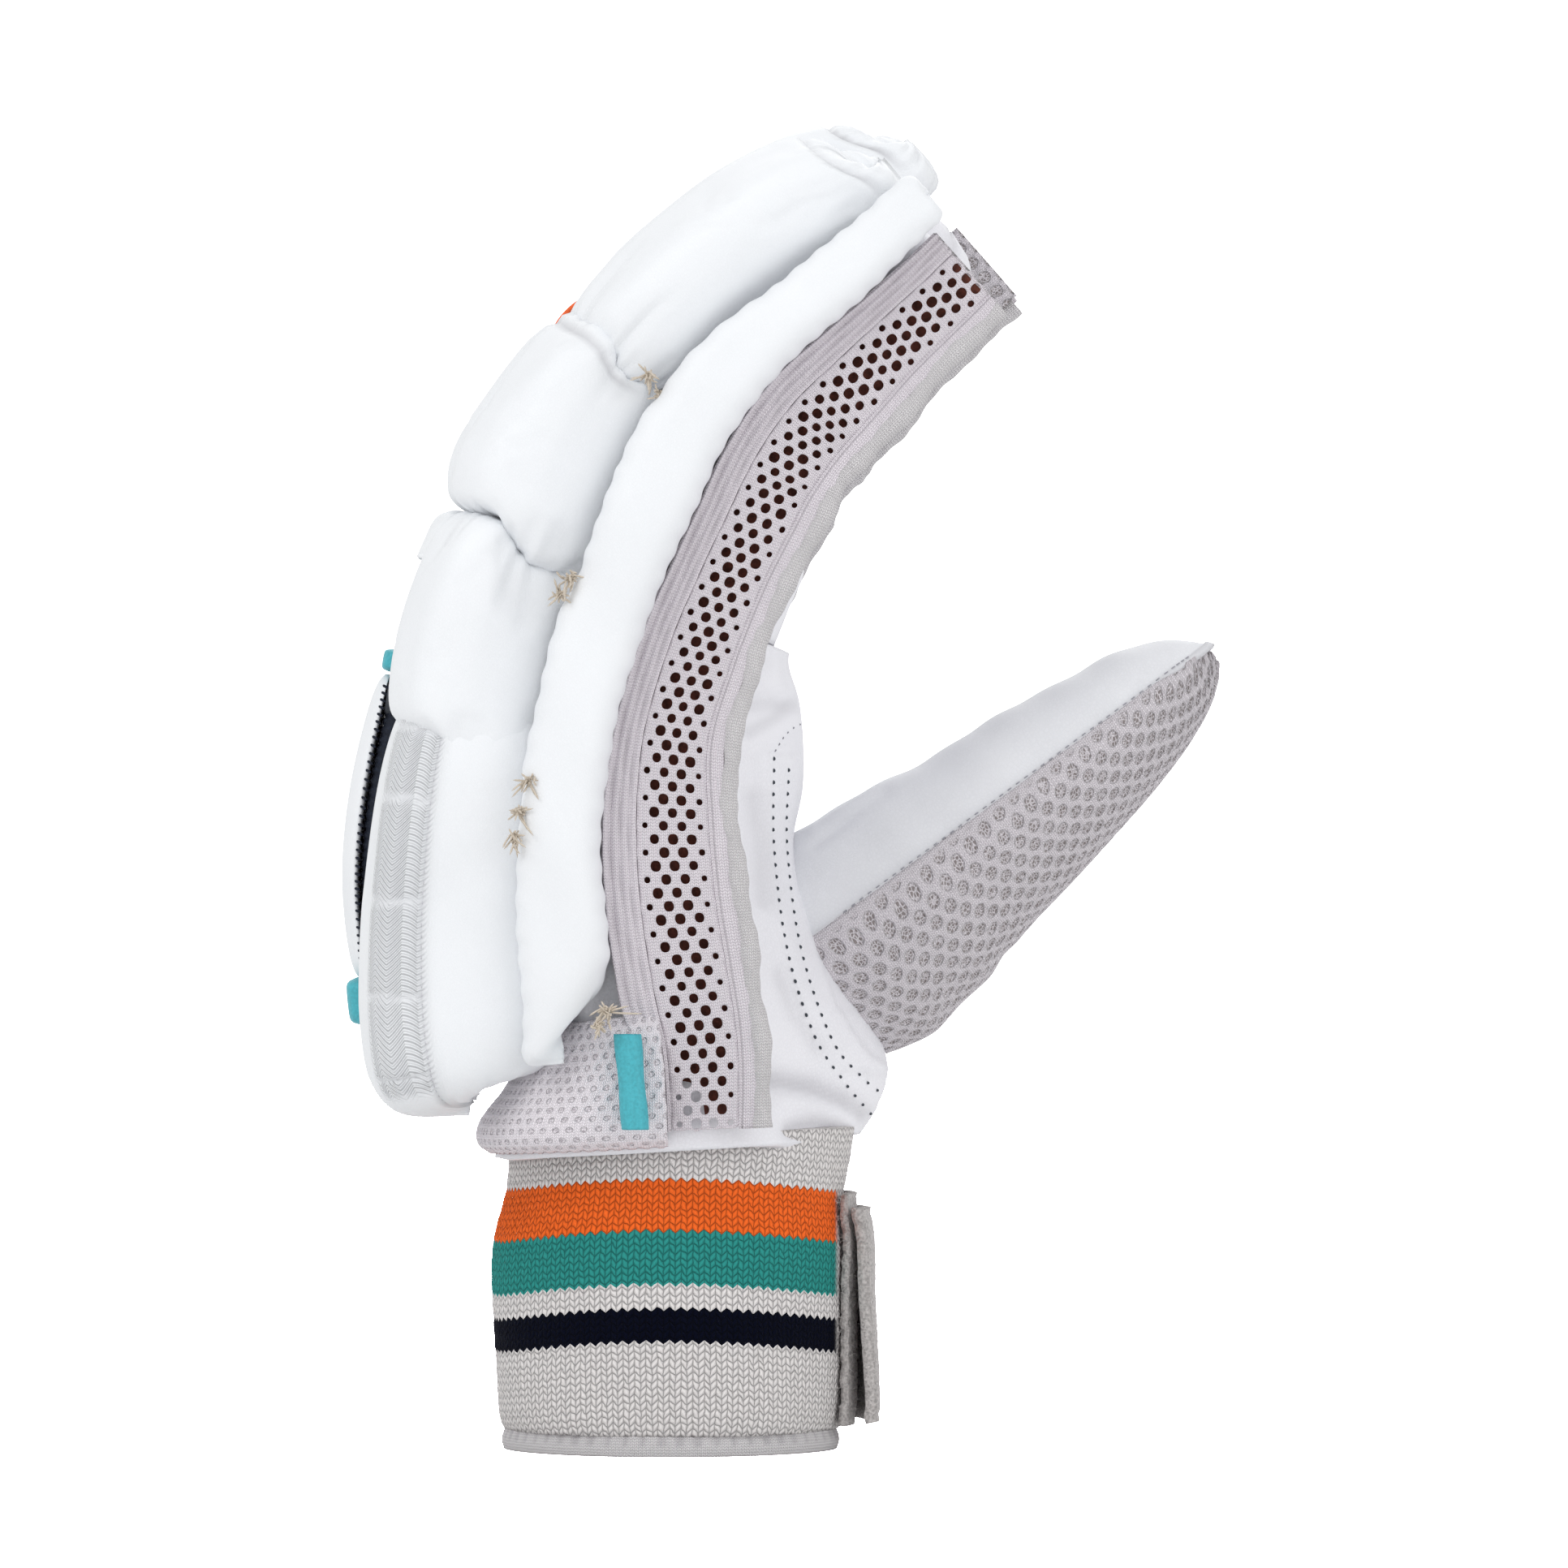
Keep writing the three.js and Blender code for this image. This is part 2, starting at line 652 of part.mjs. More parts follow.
function cuffPoint(height, angle, grow) {
  const share = (height - CUFF_BOTTOM) / (CUFF_TOP - CUFF_BOTTOM);
  const front = (readTable(cuffRows, 'front', share) * CUFF_DEPTH) / 2 + grow;
  const back = (readTable(cuffRows, 'back', share) * CUFF_DEPTH) / 2 + grow;
  const side = (readTable(cuffRows, 'side', share) * CUFF_BREADTH) / 2 + grow;
  const c = Math.cos(angle);
  return new THREE.Vector3(c * (c > 0 ? front : back), Math.sin(angle) * side, height);
}

function cuffRing(height, grow) {
  return shares(0, 2 * Math.PI, SIDES.cuff).slice(0, -1).map((angle) => cuffPoint(height, angle, grow));
}

function bandShell(heights, outer, inner) {
  const outside = heights.map((height) => cuffRing(height, outer));
  const inside = [heights[heights.length - 1], heights[0]].map((height) => cuffRing(height, inner));
  return skin([...outside, ...inside], true);
}

const cuffHeights = cuffRows.map((row) => CUFF_BOTTOM + row.at * (CUFF_TOP - CUFF_BOTTOM));

// A curved plate over some of the cuff's own facets, whose first edge may flare out.
function cuffPlate(bottom, height, firstFacet, facets, lift, thickness, flare) {
  const rings = shares(0, 1, facets).map((t) => {
    const angle = ((firstFacet + t * facets) / SIDES.cuff) * 2 * Math.PI;
    const top = bottom + height;
    const heights = [bottom, ...cuffHeights.filter((h) => h > bottom + 1 && h < top - 1), top];
    const extra = heights.map((h) => flare * (1 - t) ** 2 * (1 - (h - bottom) / height));
    const inner = heights.map((h, i) => cuffPoint(h, angle, lift + extra[i]));
    const outer = heights.map((h, i) => cuffPoint(h, angle, lift + thickness + extra[i]));
    return [...inner, ...outer.reverse()];
  });
  return skin(rings);
}

// Pieces

addPiece('cuff', bandShell(cuffHeights, 0, -KNIT_WALL), paints.knit);
addPiece('cuff_hem', bandShell([0, HEM_HEIGHT], -HEM_SETBACK, -HEM_SETBACK - HEM_WALL), paints.mesh);
addPiece(
  'hook_strip',
  cuffPlate(TAPE_BOTTOM, TAPE_HEIGHT, -1, 3, CLEARANCE, TAPE_THICKNESS, 0),
  paints.tape,
);
addPiece(
  'strap_tab',
  cuffPlate(TAB_BOTTOM, TAB_HEIGHT, -1, 4, CLEARANCE * 2 + TAPE_THICKNESS, TAB_THICKNESS, TAB_FLARE),
  paints.tape,
);

const thumbCavity = thumbSolid(-LEATHER_WALL, 0.95);
const palmOuter = palmSolid(0);
const palmCavity = palmSolid(-LEATHER_WALL, -0.02, PALM_END + 0.02);
const cuffGap = skin([HEM_HEIGHT, CUFF_TOP + CLEARANCE].map((height) => cuffRing(height, CLEARANCE)));
const eyeletWindow = windowSolid();
addPiece('palm', cutAway(palmOuter, [palmCavity, thumbCavity, cuffGap, eyeletWindow]), paints.palmLeather);

for (const finger of fingers) {
  const shell = finger.column === 0 ? cutAway(stallShell(finger), [eyeletWindow]) : stallShell(finger);
  addPiece(`stall_${finger.name}`, shell, paints.palmLeather);
}

const palmBlank = palmSolid(CLEARANCE, -0.03, PALM_END + 0.005);
const thumbShell = toManifold(thumbSolid(0)).subtract(toManifold(thumbCavity)).subtract(toManifold(palmBlank));
const thumbHalves = [
  { name: 'thumb_leather', above: 1, material: paints.palmLeather },
  { name: 'thumb_mesh', above: -1, material: paints.mesh },
];
for (const { name, above, material } of thumbHalves) {
  const half = largest(thumbShell.intersect(toManifold(thumbHalfSpace(above))));
  addPiece(name, fromManifold(half.simplify(SMOOTHING)), material);
}

const thumbPadRings = shares(-END_REACH, END_REACH, 7).map((swing) => {
  const along = (THUMB_PAD_FROM + THUMB_PAD_TO + swing * (THUMB_PAD_TO - THUMB_PAD_FROM)) / 2;
  const size = roundEnd(swing, BLOCK_END_POWER);
  const up = (readTable(thumbRows, 'up', along) * THUMB_DEPTH) / 2;
  const down = (readTable(thumbRows, 'down', along) * THUMB_DEPTH) / 2;
  const wide = (readTable(thumbRows, 'wide', along) * THUMB_BREADTH) / 2;
  return oval(SIDES.pad, 3).map(([u, v]) => thumbPlace(
    along,
    (up - down) / 2 + v * ((up + down) / 2) * THUMB_PAD_HEIGHT * size,
    wide * THUMB_PAD_SEAT + (THUMB_PAD_THICKNESS / 2) * (1 + u * size),
  ));
});
const thumbBlank = thumbSolid(CLEARANCE);
addPiece('thumb_pad', cutAway(skin(thumbPadRings), [thumbBlank, palmBlank]), paints.leather);

// The strips at both sides

const EYELET_HALVES = 6;
const EYELET_CORNERS = 4;
// Faces between a cell's rim, corners 0 to 5, and its eyelet, corners 6 to 9.
const EYELET_FACES = [
  [0, 1, 6], [1, 2, 6], [2, 7, 6], [2, 3, 7], [3, 8, 7], [3, 4, 8], [4, 5, 8], [5, 9, 8], [5, 0, 9], [0, 6, 9],
];
const BAND_SHARE = 0.27;
const BORDER_SHARE = 0.14;

function stripWidth(half) {
  return BAND_SHARE + ((1 - BAND_SHARE - BORDER_SHARE) * half) / EYELET_HALVES;
}

// The pierced strip: rows of three and two eyelets by turns, each in its own cell, on two faces.
function eyeletStrip() {
  const lines = [0, ...shares(0, EYELET_HALVES, EYELET_HALVES).map(stripWidth), 1];
  const rows = EYELET_ROW_PAIRS * 2;
  const plain = 0.012;
  const levels = [STRIP_FROM, ...shares(STRIP_FROM + plain, STRIP_TO - plain, rows), STRIP_TO];
  const points = [];
  const index = [];
  const faceStart = [];
  for (const out of [0, MESH_WALL]) {
    faceStart.push(points.length);
    for (const share of levels) {
      for (const width of lines) {
        points.push(place(share, stripAcross(share, width), -stripSide(share, width, out)));
      }
    }
  }
  const corner = (face, level, line) => faceStart[face] + level * lines.length + line;
  const addQuad = (a, b, c, d, turned) => {
    index.push(...(turned ? [a, c, b, a, d, c] : [a, b, c, a, c, d]));
  };
  const addCell = (level, line) => {
    for (const face of [0, 1]) {
      addQuad(
        corner(face, level, line),
        corner(face, level, line + 1),
        corner(face, level + 1, line + 1),
        corner(face, level + 1, line),
        face === 0,
      );
    }
  };
  const addEyelet = (level, line) => {
    const share = (levels[level] + levels[level + 1]) / 2;
    const width = lines[line + 1];
    const span = stripAcross(share, 1) - stripAcross(share, 0);
    const loops = [0, MESH_WALL].map((out, face) => {
      const start = points.length;
      for (let i = 0; i < EYELET_CORNERS; i += 1) {
        const angle = (i / EYELET_CORNERS) * 2 * Math.PI - Math.PI / 2;
        const w = width + (Math.cos(angle) * EYELET_WIDTH) / 2 / span;
        const s = share + (Math.sin(angle) * EYELET_WIDTH) / 2 / LINE_LENGTH;
        points.push(place(s, stripAcross(s, w), -stripSide(s, w, out)));
      }
      const rim = [
        corner(face, level, line), corner(face, level, line + 1), corner(face, level, line + 2),
        corner(face, level + 1, line + 2), corner(face, level + 1, line + 1), corner(face, level + 1, line),
        start, start + 1, start + 2, start + 3,
      ];
      for (const [a, b, c] of EYELET_FACES) {
        index.push(rim[a], rim[face === 0 ? c : b], rim[face === 0 ? b : c]);
      }
      return start;
    });
    for (let i = 0; i < EYELET_CORNERS; i += 1) {
      const j = (i + 1) % EYELET_CORNERS;
      addQuad(loops[1] + i, loops[1] + j, loops[0] + j, loops[0] + i, false);
    }
  };
  for (let level = 0; level < levels.length - 1; level += 1) {
    const pierced = level > 0 && level < levels.length - 2;
    const firstHole = level % 2 === 0 ? 2 : 1;
    let line = 0;
    while (line < lines.length - 1) {
      const holeHere = pierced && line >= firstHole && line + 2 <= EYELET_HALVES + 1 + (level % 2 === 0 ? -1 : 0);
      if (holeHere) {
        addEyelet(level, line);
        line += 2;
      } else {
        addCell(level, line);
        line += 1;
      }
    }
  }
  const lastLevel = levels.length - 1;
  const lastLine = lines.length - 1;
  for (let line = 0; line < lastLine; line += 1) {
    addQuad(corner(0, 0, line), corner(0, 0, line + 1), corner(1, 0, line + 1), corner(1, 0, line), false);
    addQuad(
      corner(0, lastLevel, line),
      corner(0, lastLevel, line + 1),
      corner(1, lastLevel, line + 1),
      corner(1, lastLevel, line),
      true,
    );
  }
  for (let level = 0; level < lastLevel; level += 1) {
    addQuad(corner(0, level, 0), corner(0, level + 1, 0), corner(1, level + 1, 0), corner(1, level, 0), true);
    addQuad(
      corner(0, level, lastLine),
      corner(0, level + 1, lastLine),
      corner(1, level + 1, lastLine),
      corner(1, level, lastLine),
      false,
    );
  }
  return closedGeometry(points.flatMap((p) => [p.x, p.y, p.z]), index);
}

addPiece('side_mesh', eyeletStrip(), paints.mesh);

// A rolled hem beside a strip's free edge. mirror is -1 at the little finger and 1 at the index finger.
function hemRoll(mirror, from, to) {
  const rings = shares(from, to, 16).map((share) => {
    const across = stripAcross(share, 1) + CLEARANCE + HEM_ROLL_WIDTH / 2;
    const side = mirror * stripSide(share, 1, MESH_WALL / 2);
    const half = HEM_ROLL_WIDTH / 2;
    return oval(6, 2).map(([u, v]) => place(share, across + u * half, side + v * half));
  });
  return skin(rings);
}

addPiece('side_mesh_hem', hemRoll(-1, STRIP_FROM, STRIP_TO), paints.mesh);

const INDEX_STRIP_FROM = 0.2;
const INDEX_STRIP_TO = 1.035;
const indexStripRings = shares(INDEX_STRIP_FROM, INDEX_STRIP_TO, 11).map((share) => {
  const widths = [0, 0.5, 1];
  const inner = widths.map((w) => place(share, stripAcross(share, w), stripSide(share, w, 0)));
  const outer = widths.map((w) => place(share, stripAcross(share, w), stripSide(share, w, MESH_WALL)));
  return [...inner, ...outer.reverse()];
});
addPiece('index_mesh', cutAway(skin(indexStripRings), [thumbBlank, palmBlank]), paints.mesh);

// The padding, each piece cut clear of what it sits on

const stallBlanks = fingers.map((finger) => stallSolid(finger, CLEARANCE));
const stripBlank = skin(shares(STRIP_FROM - 0.01, STRIP_TO + 0.01, 20).map((share) => {
  const low = stripAcross(share, 0) - CLEARANCE * 2;
  const high = stripAcross(share, 1) + CLEARANCE * 2;
  const widths = [0, 0.4, 0.7, 1];
  const inner = [low, high].map((across) => place(share, across, -halfBreadth(share) + 1));
  const outer = widths.map((width) => place(
    share,
    low + (high - low) * width,
    -stripSide(share, width, MESH_WALL + CLEARANCE * 1.5),
  ));
  return [...inner, ...outer.reverse()];
}));

const carried = [palmBlank, ...stallBlanks];
const blockSolids = blocks.map((block) => ({ block, blank: skin(blockRings(block, CLEARANCE)) }));
const placed = [];

for (const finger of fingers) {
  for (let part = padNames.length - 1; part >= 0; part -= 1) {
    const geometry = cutAway(skin(fingerPadRings(finger, part, 0)), [...carried, ...placed]);
    addPiece(`pad_${finger.name}_${padNames[part]}`, geometry, paints.leather);
    placed.push(skin(fingerPadRings(finger, part, CLEARANCE)));
  }
}

for (const { block, blank } of blockSolids) {
  addPiece(block.name, cutAway(skin(blockRings(block, 0)), [...carried, ...placed]), paints.leather);
  placed.push(blank);
}

addPiece('side_roll', cutAway(skin(rollRings(0)), [...carried, ...placed, stripBlank]), paints.leather);
placed.push(skin(rollRings(CLEARANCE)));

const borderOuter = PANEL_REACH - PANEL_SKIN - CLEARANCE;
const borderInner = borderOuter - BORDER_THICKNESS;
const border = panelPlate(borderOuter, borderInner, PANEL_BREADTH, PANEL_FROM, PANEL_TO, BORDER_DOME);
addPiece('panel_border', cutAway(border, placed), paints.navy);
const faceInner = PANEL_REACH - PANEL_SKIN;
const panel = panelPlate(PANEL_REACH, faceInner, PANEL_BREADTH - 2, PANEL_FROM, PANEL_TO, FACE_DOME);
addPiece('back_panel', cutAway(panel, placed), paints.leather);
const trimReach = { outer: PANEL_REACH - TRIM_SETBACK, inner: faceInner - BORDER_THICKNESS };
const trims = [
  { name: 'panel_trim_low', from: PANEL_FROM - 0.04, to: PANEL_FROM - CLEARANCE / LINE_LENGTH },
  { name: 'panel_trim_top', from: PANEL_TO + CLEARANCE / LINE_LENGTH, to: PANEL_TO + 0.022 },
];
for (const { name, from, to } of trims) {
  const breadth = PANEL_BREADTH * TRIM_BREADTH;
  const plate = panelPlate(trimReach.outer, trimReach.inner, breadth, from, to, TRIM_DOME);
  addPiece(name, cutAway(plate, placed), paints.teal);
}

// The small patch near the joint of two rolls, bedded on the rounded end of the lower one
const PATCH_BED = 1.5;
const PATCH_BELOW_JOINT = 0.06;
const patchFinger = fingers[2];
const patchFrom = padJoints[2] - PATCH_BELOW_JOINT;
const patchRings = shares(patchFrom, patchFrom + PATCH_LENGTH / LINE_LENGTH, 2).map((share) => {
  const { across, side, thick } = fingerPadSection(patchFinger)(share);
  const swing = (2 * (share - padJoints[1])) / (padJoints[2] - padJoints[1]) - 1;
  const reach = thick * roundEnd(swing, PAD_END_POWER) - across;
  const half = PATCH_BREADTH / 2;
  return [
    place(share, PATCH_BED - reach, side - half),
    place(share, PATCH_BED - reach, side + half),
    place(share, -reach - PATCH_THICKNESS, side + half * 0.9),
    place(share, -reach - PATCH_THICKNESS, side - half * 0.9),
  ];
});
addPiece('finger_patch', cutAway(skin(patchRings), placed), paints.orange);

// The bulging band above the cuff, at the corners of the palm's own rings
const heelStops = [
  { at: 0.012, bulge: 0.3 },
  { at: 0.03, bulge: 1 },
  { at: 0.065, bulge: 0.9 },
  { at: 0.13, bulge: 0.45 },
];
const HEEL_SEAT = CLEARANCE * 1.5;
const HEEL_WALL = MESH_WALL * 0.6;
const heelCorners = oval(SIDES.palm, PALM_POWER);
const heelStart = SIDES.palm / 2;
const heelRings = Array.from({ length: heelStart + 1 }, (_, i) => {
  const pair = heelCorners[(heelStart + i) % SIDES.palm];
  const inner = heelStops.map((stop) => palmPoint(stop.at, pair, HEEL_SEAT));
  const outer = heelStops.map((stop) => palmPoint(stop.at, pair, HEEL_SEAT + HEEL_WALL + stop.bulge * HEEL_BULGE));
  return [...inner, ...outer.reverse()];
});
addPiece('heel_mesh', cutAway(skin(heelRings), [...placed, stripBlank]), paints.mesh);

// The short open tube beside the strip
const TUBE_TOP = 0.122;
const TUBE_ACROSS = -5.7;
const tubeTop = place(TUBE_TOP, TUBE_ACROSS, 0);
const heelFullest = heelStops[2];
const heelSkin = HEEL_SEAT + HEEL_WALL + heelFullest.bulge * HEEL_BULGE;
const tubeSide = -(halfBreadth(heelFullest.at) + heelSkin + CLEARANCE + TUBE_WIDTH / 2);
const tubeProfile = [
  [TUBE_BORE / 2, 0],
  [TUBE_WIDTH / 2, 0],
  [TUBE_WIDTH / 2, TUBE_LENGTH],
  [TUBE_BORE / 2, TUBE_LENGTH],
  [TUBE_BORE / 2, 0],
].map(([x, y]) => new THREE.Vector2(x, y));
const tube = new THREE.LatheGeometry(tubeProfile, SIDES.tube);
tube.rotateX(Math.PI / 2);
tube.translate(tubeTop.x, tubeSide, tubeTop.z - TUBE_LENGTH);
addPiece('tube_tag', tube, paints.teal);

export default glove;
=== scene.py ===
"""A padded sport glove for the right hand, standing on its striped knitted cuff.

+X is the palm side, -X the back of the hand, -Y the little finger's side, +Z up.
Shapes are worked out in millimetres and put into the meshes in metres.
"""
import math

import bpy
import numpy as np
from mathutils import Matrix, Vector
from mathutils.bvhtree import BVHTree


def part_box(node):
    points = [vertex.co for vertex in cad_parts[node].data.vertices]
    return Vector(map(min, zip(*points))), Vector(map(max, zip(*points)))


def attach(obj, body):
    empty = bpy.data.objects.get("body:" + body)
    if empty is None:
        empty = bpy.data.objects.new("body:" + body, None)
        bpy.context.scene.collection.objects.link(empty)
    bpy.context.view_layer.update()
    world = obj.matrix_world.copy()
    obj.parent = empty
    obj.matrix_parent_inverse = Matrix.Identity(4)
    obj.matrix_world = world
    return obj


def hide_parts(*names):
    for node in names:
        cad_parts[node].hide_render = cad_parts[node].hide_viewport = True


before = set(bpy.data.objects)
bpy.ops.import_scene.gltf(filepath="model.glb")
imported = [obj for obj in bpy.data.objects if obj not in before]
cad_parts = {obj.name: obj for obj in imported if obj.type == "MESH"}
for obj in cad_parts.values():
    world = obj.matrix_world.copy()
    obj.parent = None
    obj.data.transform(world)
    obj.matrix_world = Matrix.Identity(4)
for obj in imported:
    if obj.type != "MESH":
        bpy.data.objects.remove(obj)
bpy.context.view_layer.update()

MM = 0.001

# Sizes of the frame that this model repeats, in millimetres
CLEARANCE = 0.3
LEATHER_WALL = 2.0
MESH_WALL = 1.6
CUFF_DEPTH = 71.5
CUFF_BREADTH = 74.0
CUFF_TOP = 66.0
HEM_HEIGHT = 3.8
HEM_SETBACK = 1.0
TAPE_THICKNESS = 1.6
TAPE_BOTTOM = 5.0
TAPE_HEIGHT = 47.5
TAB_THICKNESS = 2.4
WRIST_HEIGHT = 62.0
HAND_RISE = 182.3
FINGER_REACH = 56.5
HAND_BREADTH = 92.0
HAND_DEPTH = 38.0
THUMB_MOUND = 46.0
PAD_REACH = 58.0
FINGER_COUNT = 4
ROLL_WIDTH = 17.4
ROLL_THICKNESS = 13.0
BLOCK_BREADTH = 33.0
BLOCK_REACH = 60.0
PANEL_REACH = 63.2
PANEL_BREADTH = 34.0
HEM_ROLL_WIDTH = 3.6
TUBE_WIDTH = 5.5
TUBE_BORE = 3.1
TUBE_LENGTH = 19.2
HEEL_BULGE = 4.6
THUMB_LENGTH = 94.0
THUMB_DEPTH = 48.0
THUMB_BREADTH = 36.0
THUMB_RISE = math.radians(36.5)
THUMB_BASE = (38.0, 20.0, 105.0)
THUMB_TIP_SIDE = 13.0
THUMB_SEAM = 5.4
THUMB_PAD_THICKNESS = 13.0
PALM_END = 0.54


# Tables and curves


def table(columns, *rows):
    """Rows of numbers as a dict of named columns."""
    return dict(zip(columns.split(), np.array(rows, float).T))


def read(rows, column, share):
    """A column at a share: cubics between the rows, whose slopes are those between each row's neighbours."""
    at, value = rows["at"], rows[column]
    slope = np.empty_like(value)
    slope[1:-1] = (value[2:] - value[:-2]) / (at[2:] - at[:-2])
    slope[0] = (value[1] - value[0]) / (at[1] - at[0])
    slope[-1] = (value[-1] - value[-2]) / (at[-1] - at[-2])
    share = np.clip(np.asarray(share, float), at[0], at[-1])
    low = np.clip(np.searchsorted(at, share) - 1, 0, len(at) - 2)
    span = at[low + 1] - at[low]
    t = (share - at[low]) / span
    rise = 3 * t**2 - 2 * t**3
    return (
        (1 - rise) * value[low] + rise * value[low + 1]
        + (t**3 - 2 * t**2 + t) * slope[low] * span + (t**3 - t**2) * slope[low + 1] * span
    )


def smoothstep(x, low, high):
    """0 below low, 1 above high, and 3t^2 - 2t^3 between."""
    t = np.clip((x - low) / (high - low), 0, 1)
    return t * t * (3 - 2 * t)


def bump(x, middle, width):
    """A bell of height 1 round the middle: e to the power -((x - middle) / width)^2."""
    return np.exp(-(((x - middle) / width) ** 2))


def even(x, y, count, closed=False):
    """Points at even steps of length along a finely sampled curve."""
    length = np.concatenate([[0], np.cumsum(np.hypot(np.diff(x), np.diff(y)))])
    steps = np.linspace(0, length[-1], count, endpoint=not closed)
    return np.interp(steps, length, x), np.interp(steps, length, y)


def oval(count, power, start=0.0, end=2 * math.pi, stretch=1.0):
    """A superellipse |u|^power + |v|^power = 1 at even steps; stretch is v's real size over u's."""
    angle = np.linspace(start, end, 4001)
    c, s = np.cos(angle), np.sin(angle)
    u = np.sign(c) * np.abs(c) ** (2 / power)
    v = np.sign(s) * np.abs(s) ** (2 / power)
    whole = end - start > 6.28
    u, v = even(u, v * stretch, count, whole)
    return u, v / stretch


def end_curve(count, power, length, thickness):
    """Swing from -1 to 1 and the size left there, |swing|^power + size^power = 1, at even steps."""
    swing, size = oval(count, power, 0.0, math.pi, thickness / length)
    return -swing, np.maximum(size, 0.0)


# The hand's centre line

CENTRE = table(
    "rise reach",
    (0, 0), (0.099, -0.018), (0.194, -0.053), (0.285, -0.076), (0.377, -0.076), (0.468, -0.041),
    (0.56, 0.018),
    (0.637, 0.101), (0.708, 0.189), (0.773, 0.276), (0.838, 0.412), (0.896, 0.611), (0.967, 0.88), (1, 1),
)


def centre_line(steps=80):
    """Cubics through the rows, with slopes of half the step between neighbours, and their lengths."""
    rows = np.stack([CENTRE["reach"] * FINGER_REACH, WRIST_HEIGHT + CENTRE["rise"] * HAND_RISE], -1)
    points = np.vstack([2 * rows[0] - rows[1], rows, 2 * rows[-1] - rows[-2]])
    before, start, end, after = (points[i : len(points) - 3 + i, None] for i in range(4))
    t = np.linspace(0, 1, steps, endpoint=False)[None, :, None]
    rise = 3 * t**2 - 2 * t**3
    curve = (1 - rise) * start + rise * end + (t**3 - 2 * t**2 + t) * (end - before) / 2
    curve = (curve + (t**3 - t**2) * (after - start) / 2).reshape(-1, 2)
    curve = np.vstack([curve, rows[-1]])
    length = np.concatenate([[0], np.cumsum(np.hypot(*np.diff(curve, axis=0).T))])
    tangent = np.gradient(curve, length, axis=0)
    tangent /= np.linalg.norm(tangent, axis=1, keepdims=True)
    return length, curve, tangent


line_length, line_points, line_tangents = centre_line()
LINE_LENGTH = line_length[-1]


def place(share, across, side):
    """The point at a share of the centre line, so far towards the palm and so far to the thumb's side."""
    share, across, side = np.broadcast_arrays(np.asarray(share, float), across, side)
    inside = np.clip(share, 0, 1) * LINE_LENGTH
    x, z = (np.interp(inside, line_length, line_points[:, i]) for i in (0, 1))
    tx, tz = (np.interp(inside, line_length, line_tangents[:, i]) for i in (0, 1))
    past = share * LINE_LENGTH - inside
    return np.stack([x + tx * past + tz * across, side, z + tz * past - tx * across], -1)


# Meshes


def normals(points, around):
    """Unit cross products of the grid's two slopes; round a closed grid the columns wrap."""
    along = np.gradient(points, axis=0)
    if around:
        across = (np.roll(points, -1, 1) - np.roll(points, 1, 1)) / 2
    else:
        across = np.gradient(points, axis=1)
    out = np.cross(across, along)
    return out / np.maximum(np.linalg.norm(out, axis=-1, keepdims=True), 1e-9)


def outward(points, around, centre=None):
    """The normals, turned to face away from the middle of their row, or from a given point."""
    out = normals(points, around)
    middle = points.mean(axis=1, keepdims=True) if centre is None else np.asarray(centre, float)
    facing = np.sum(out * (points - middle))
    return out if facing > 0 else -out


def raised(points, height, around=True, centre=None):
    """The grid with each point moved out along its normal by a height."""
    return points + outward(points, around, centre) * height[..., None]


def flat_map(points, around):
    """A map in millimetres: mean lengths along and around the grid."""
    loop = np.concatenate([points, points[:, :1]], 1) if around else points
    u = np.linalg.norm(np.diff(loop, axis=1), axis=-1).mean(0)
    v = np.linalg.norm(np.diff(points, axis=0), axis=-1).mean(1)
    u = np.concatenate([[0], np.cumsum(u)])
    v = np.concatenate([[0], np.cumsum(v)])
    return np.stack(np.broadcast_arrays(u[None, :], v[:, None]), -1)


def build(name, vertices, faces, material, maps=None, replaces=(), smooth=True, body="root"):
    """A mesh object from arrays; maps holds one (u, v) for each face corner."""
    mesh = bpy.data.meshes.new(name)
    mesh.from_pydata((np.asarray(vertices) * MM).tolist(), [], faces)
    if maps is not None:
        layer = mesh.uv_layers.new(name="cloth")
        layer.data.foreach_set("uv", np.asarray(maps, np.float32).ravel())
    mesh.polygons.foreach_set("use_smooth", np.full(len(mesh.polygons), smooth))
    mesh.materials.append(material)
    mesh.update()
    piece = bpy.data.objects.new(name, mesh)
    bpy.context.scene.collection.objects.link(piece)
    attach(piece, body)
    if replaces:
        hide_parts(*replaces)
    return piece


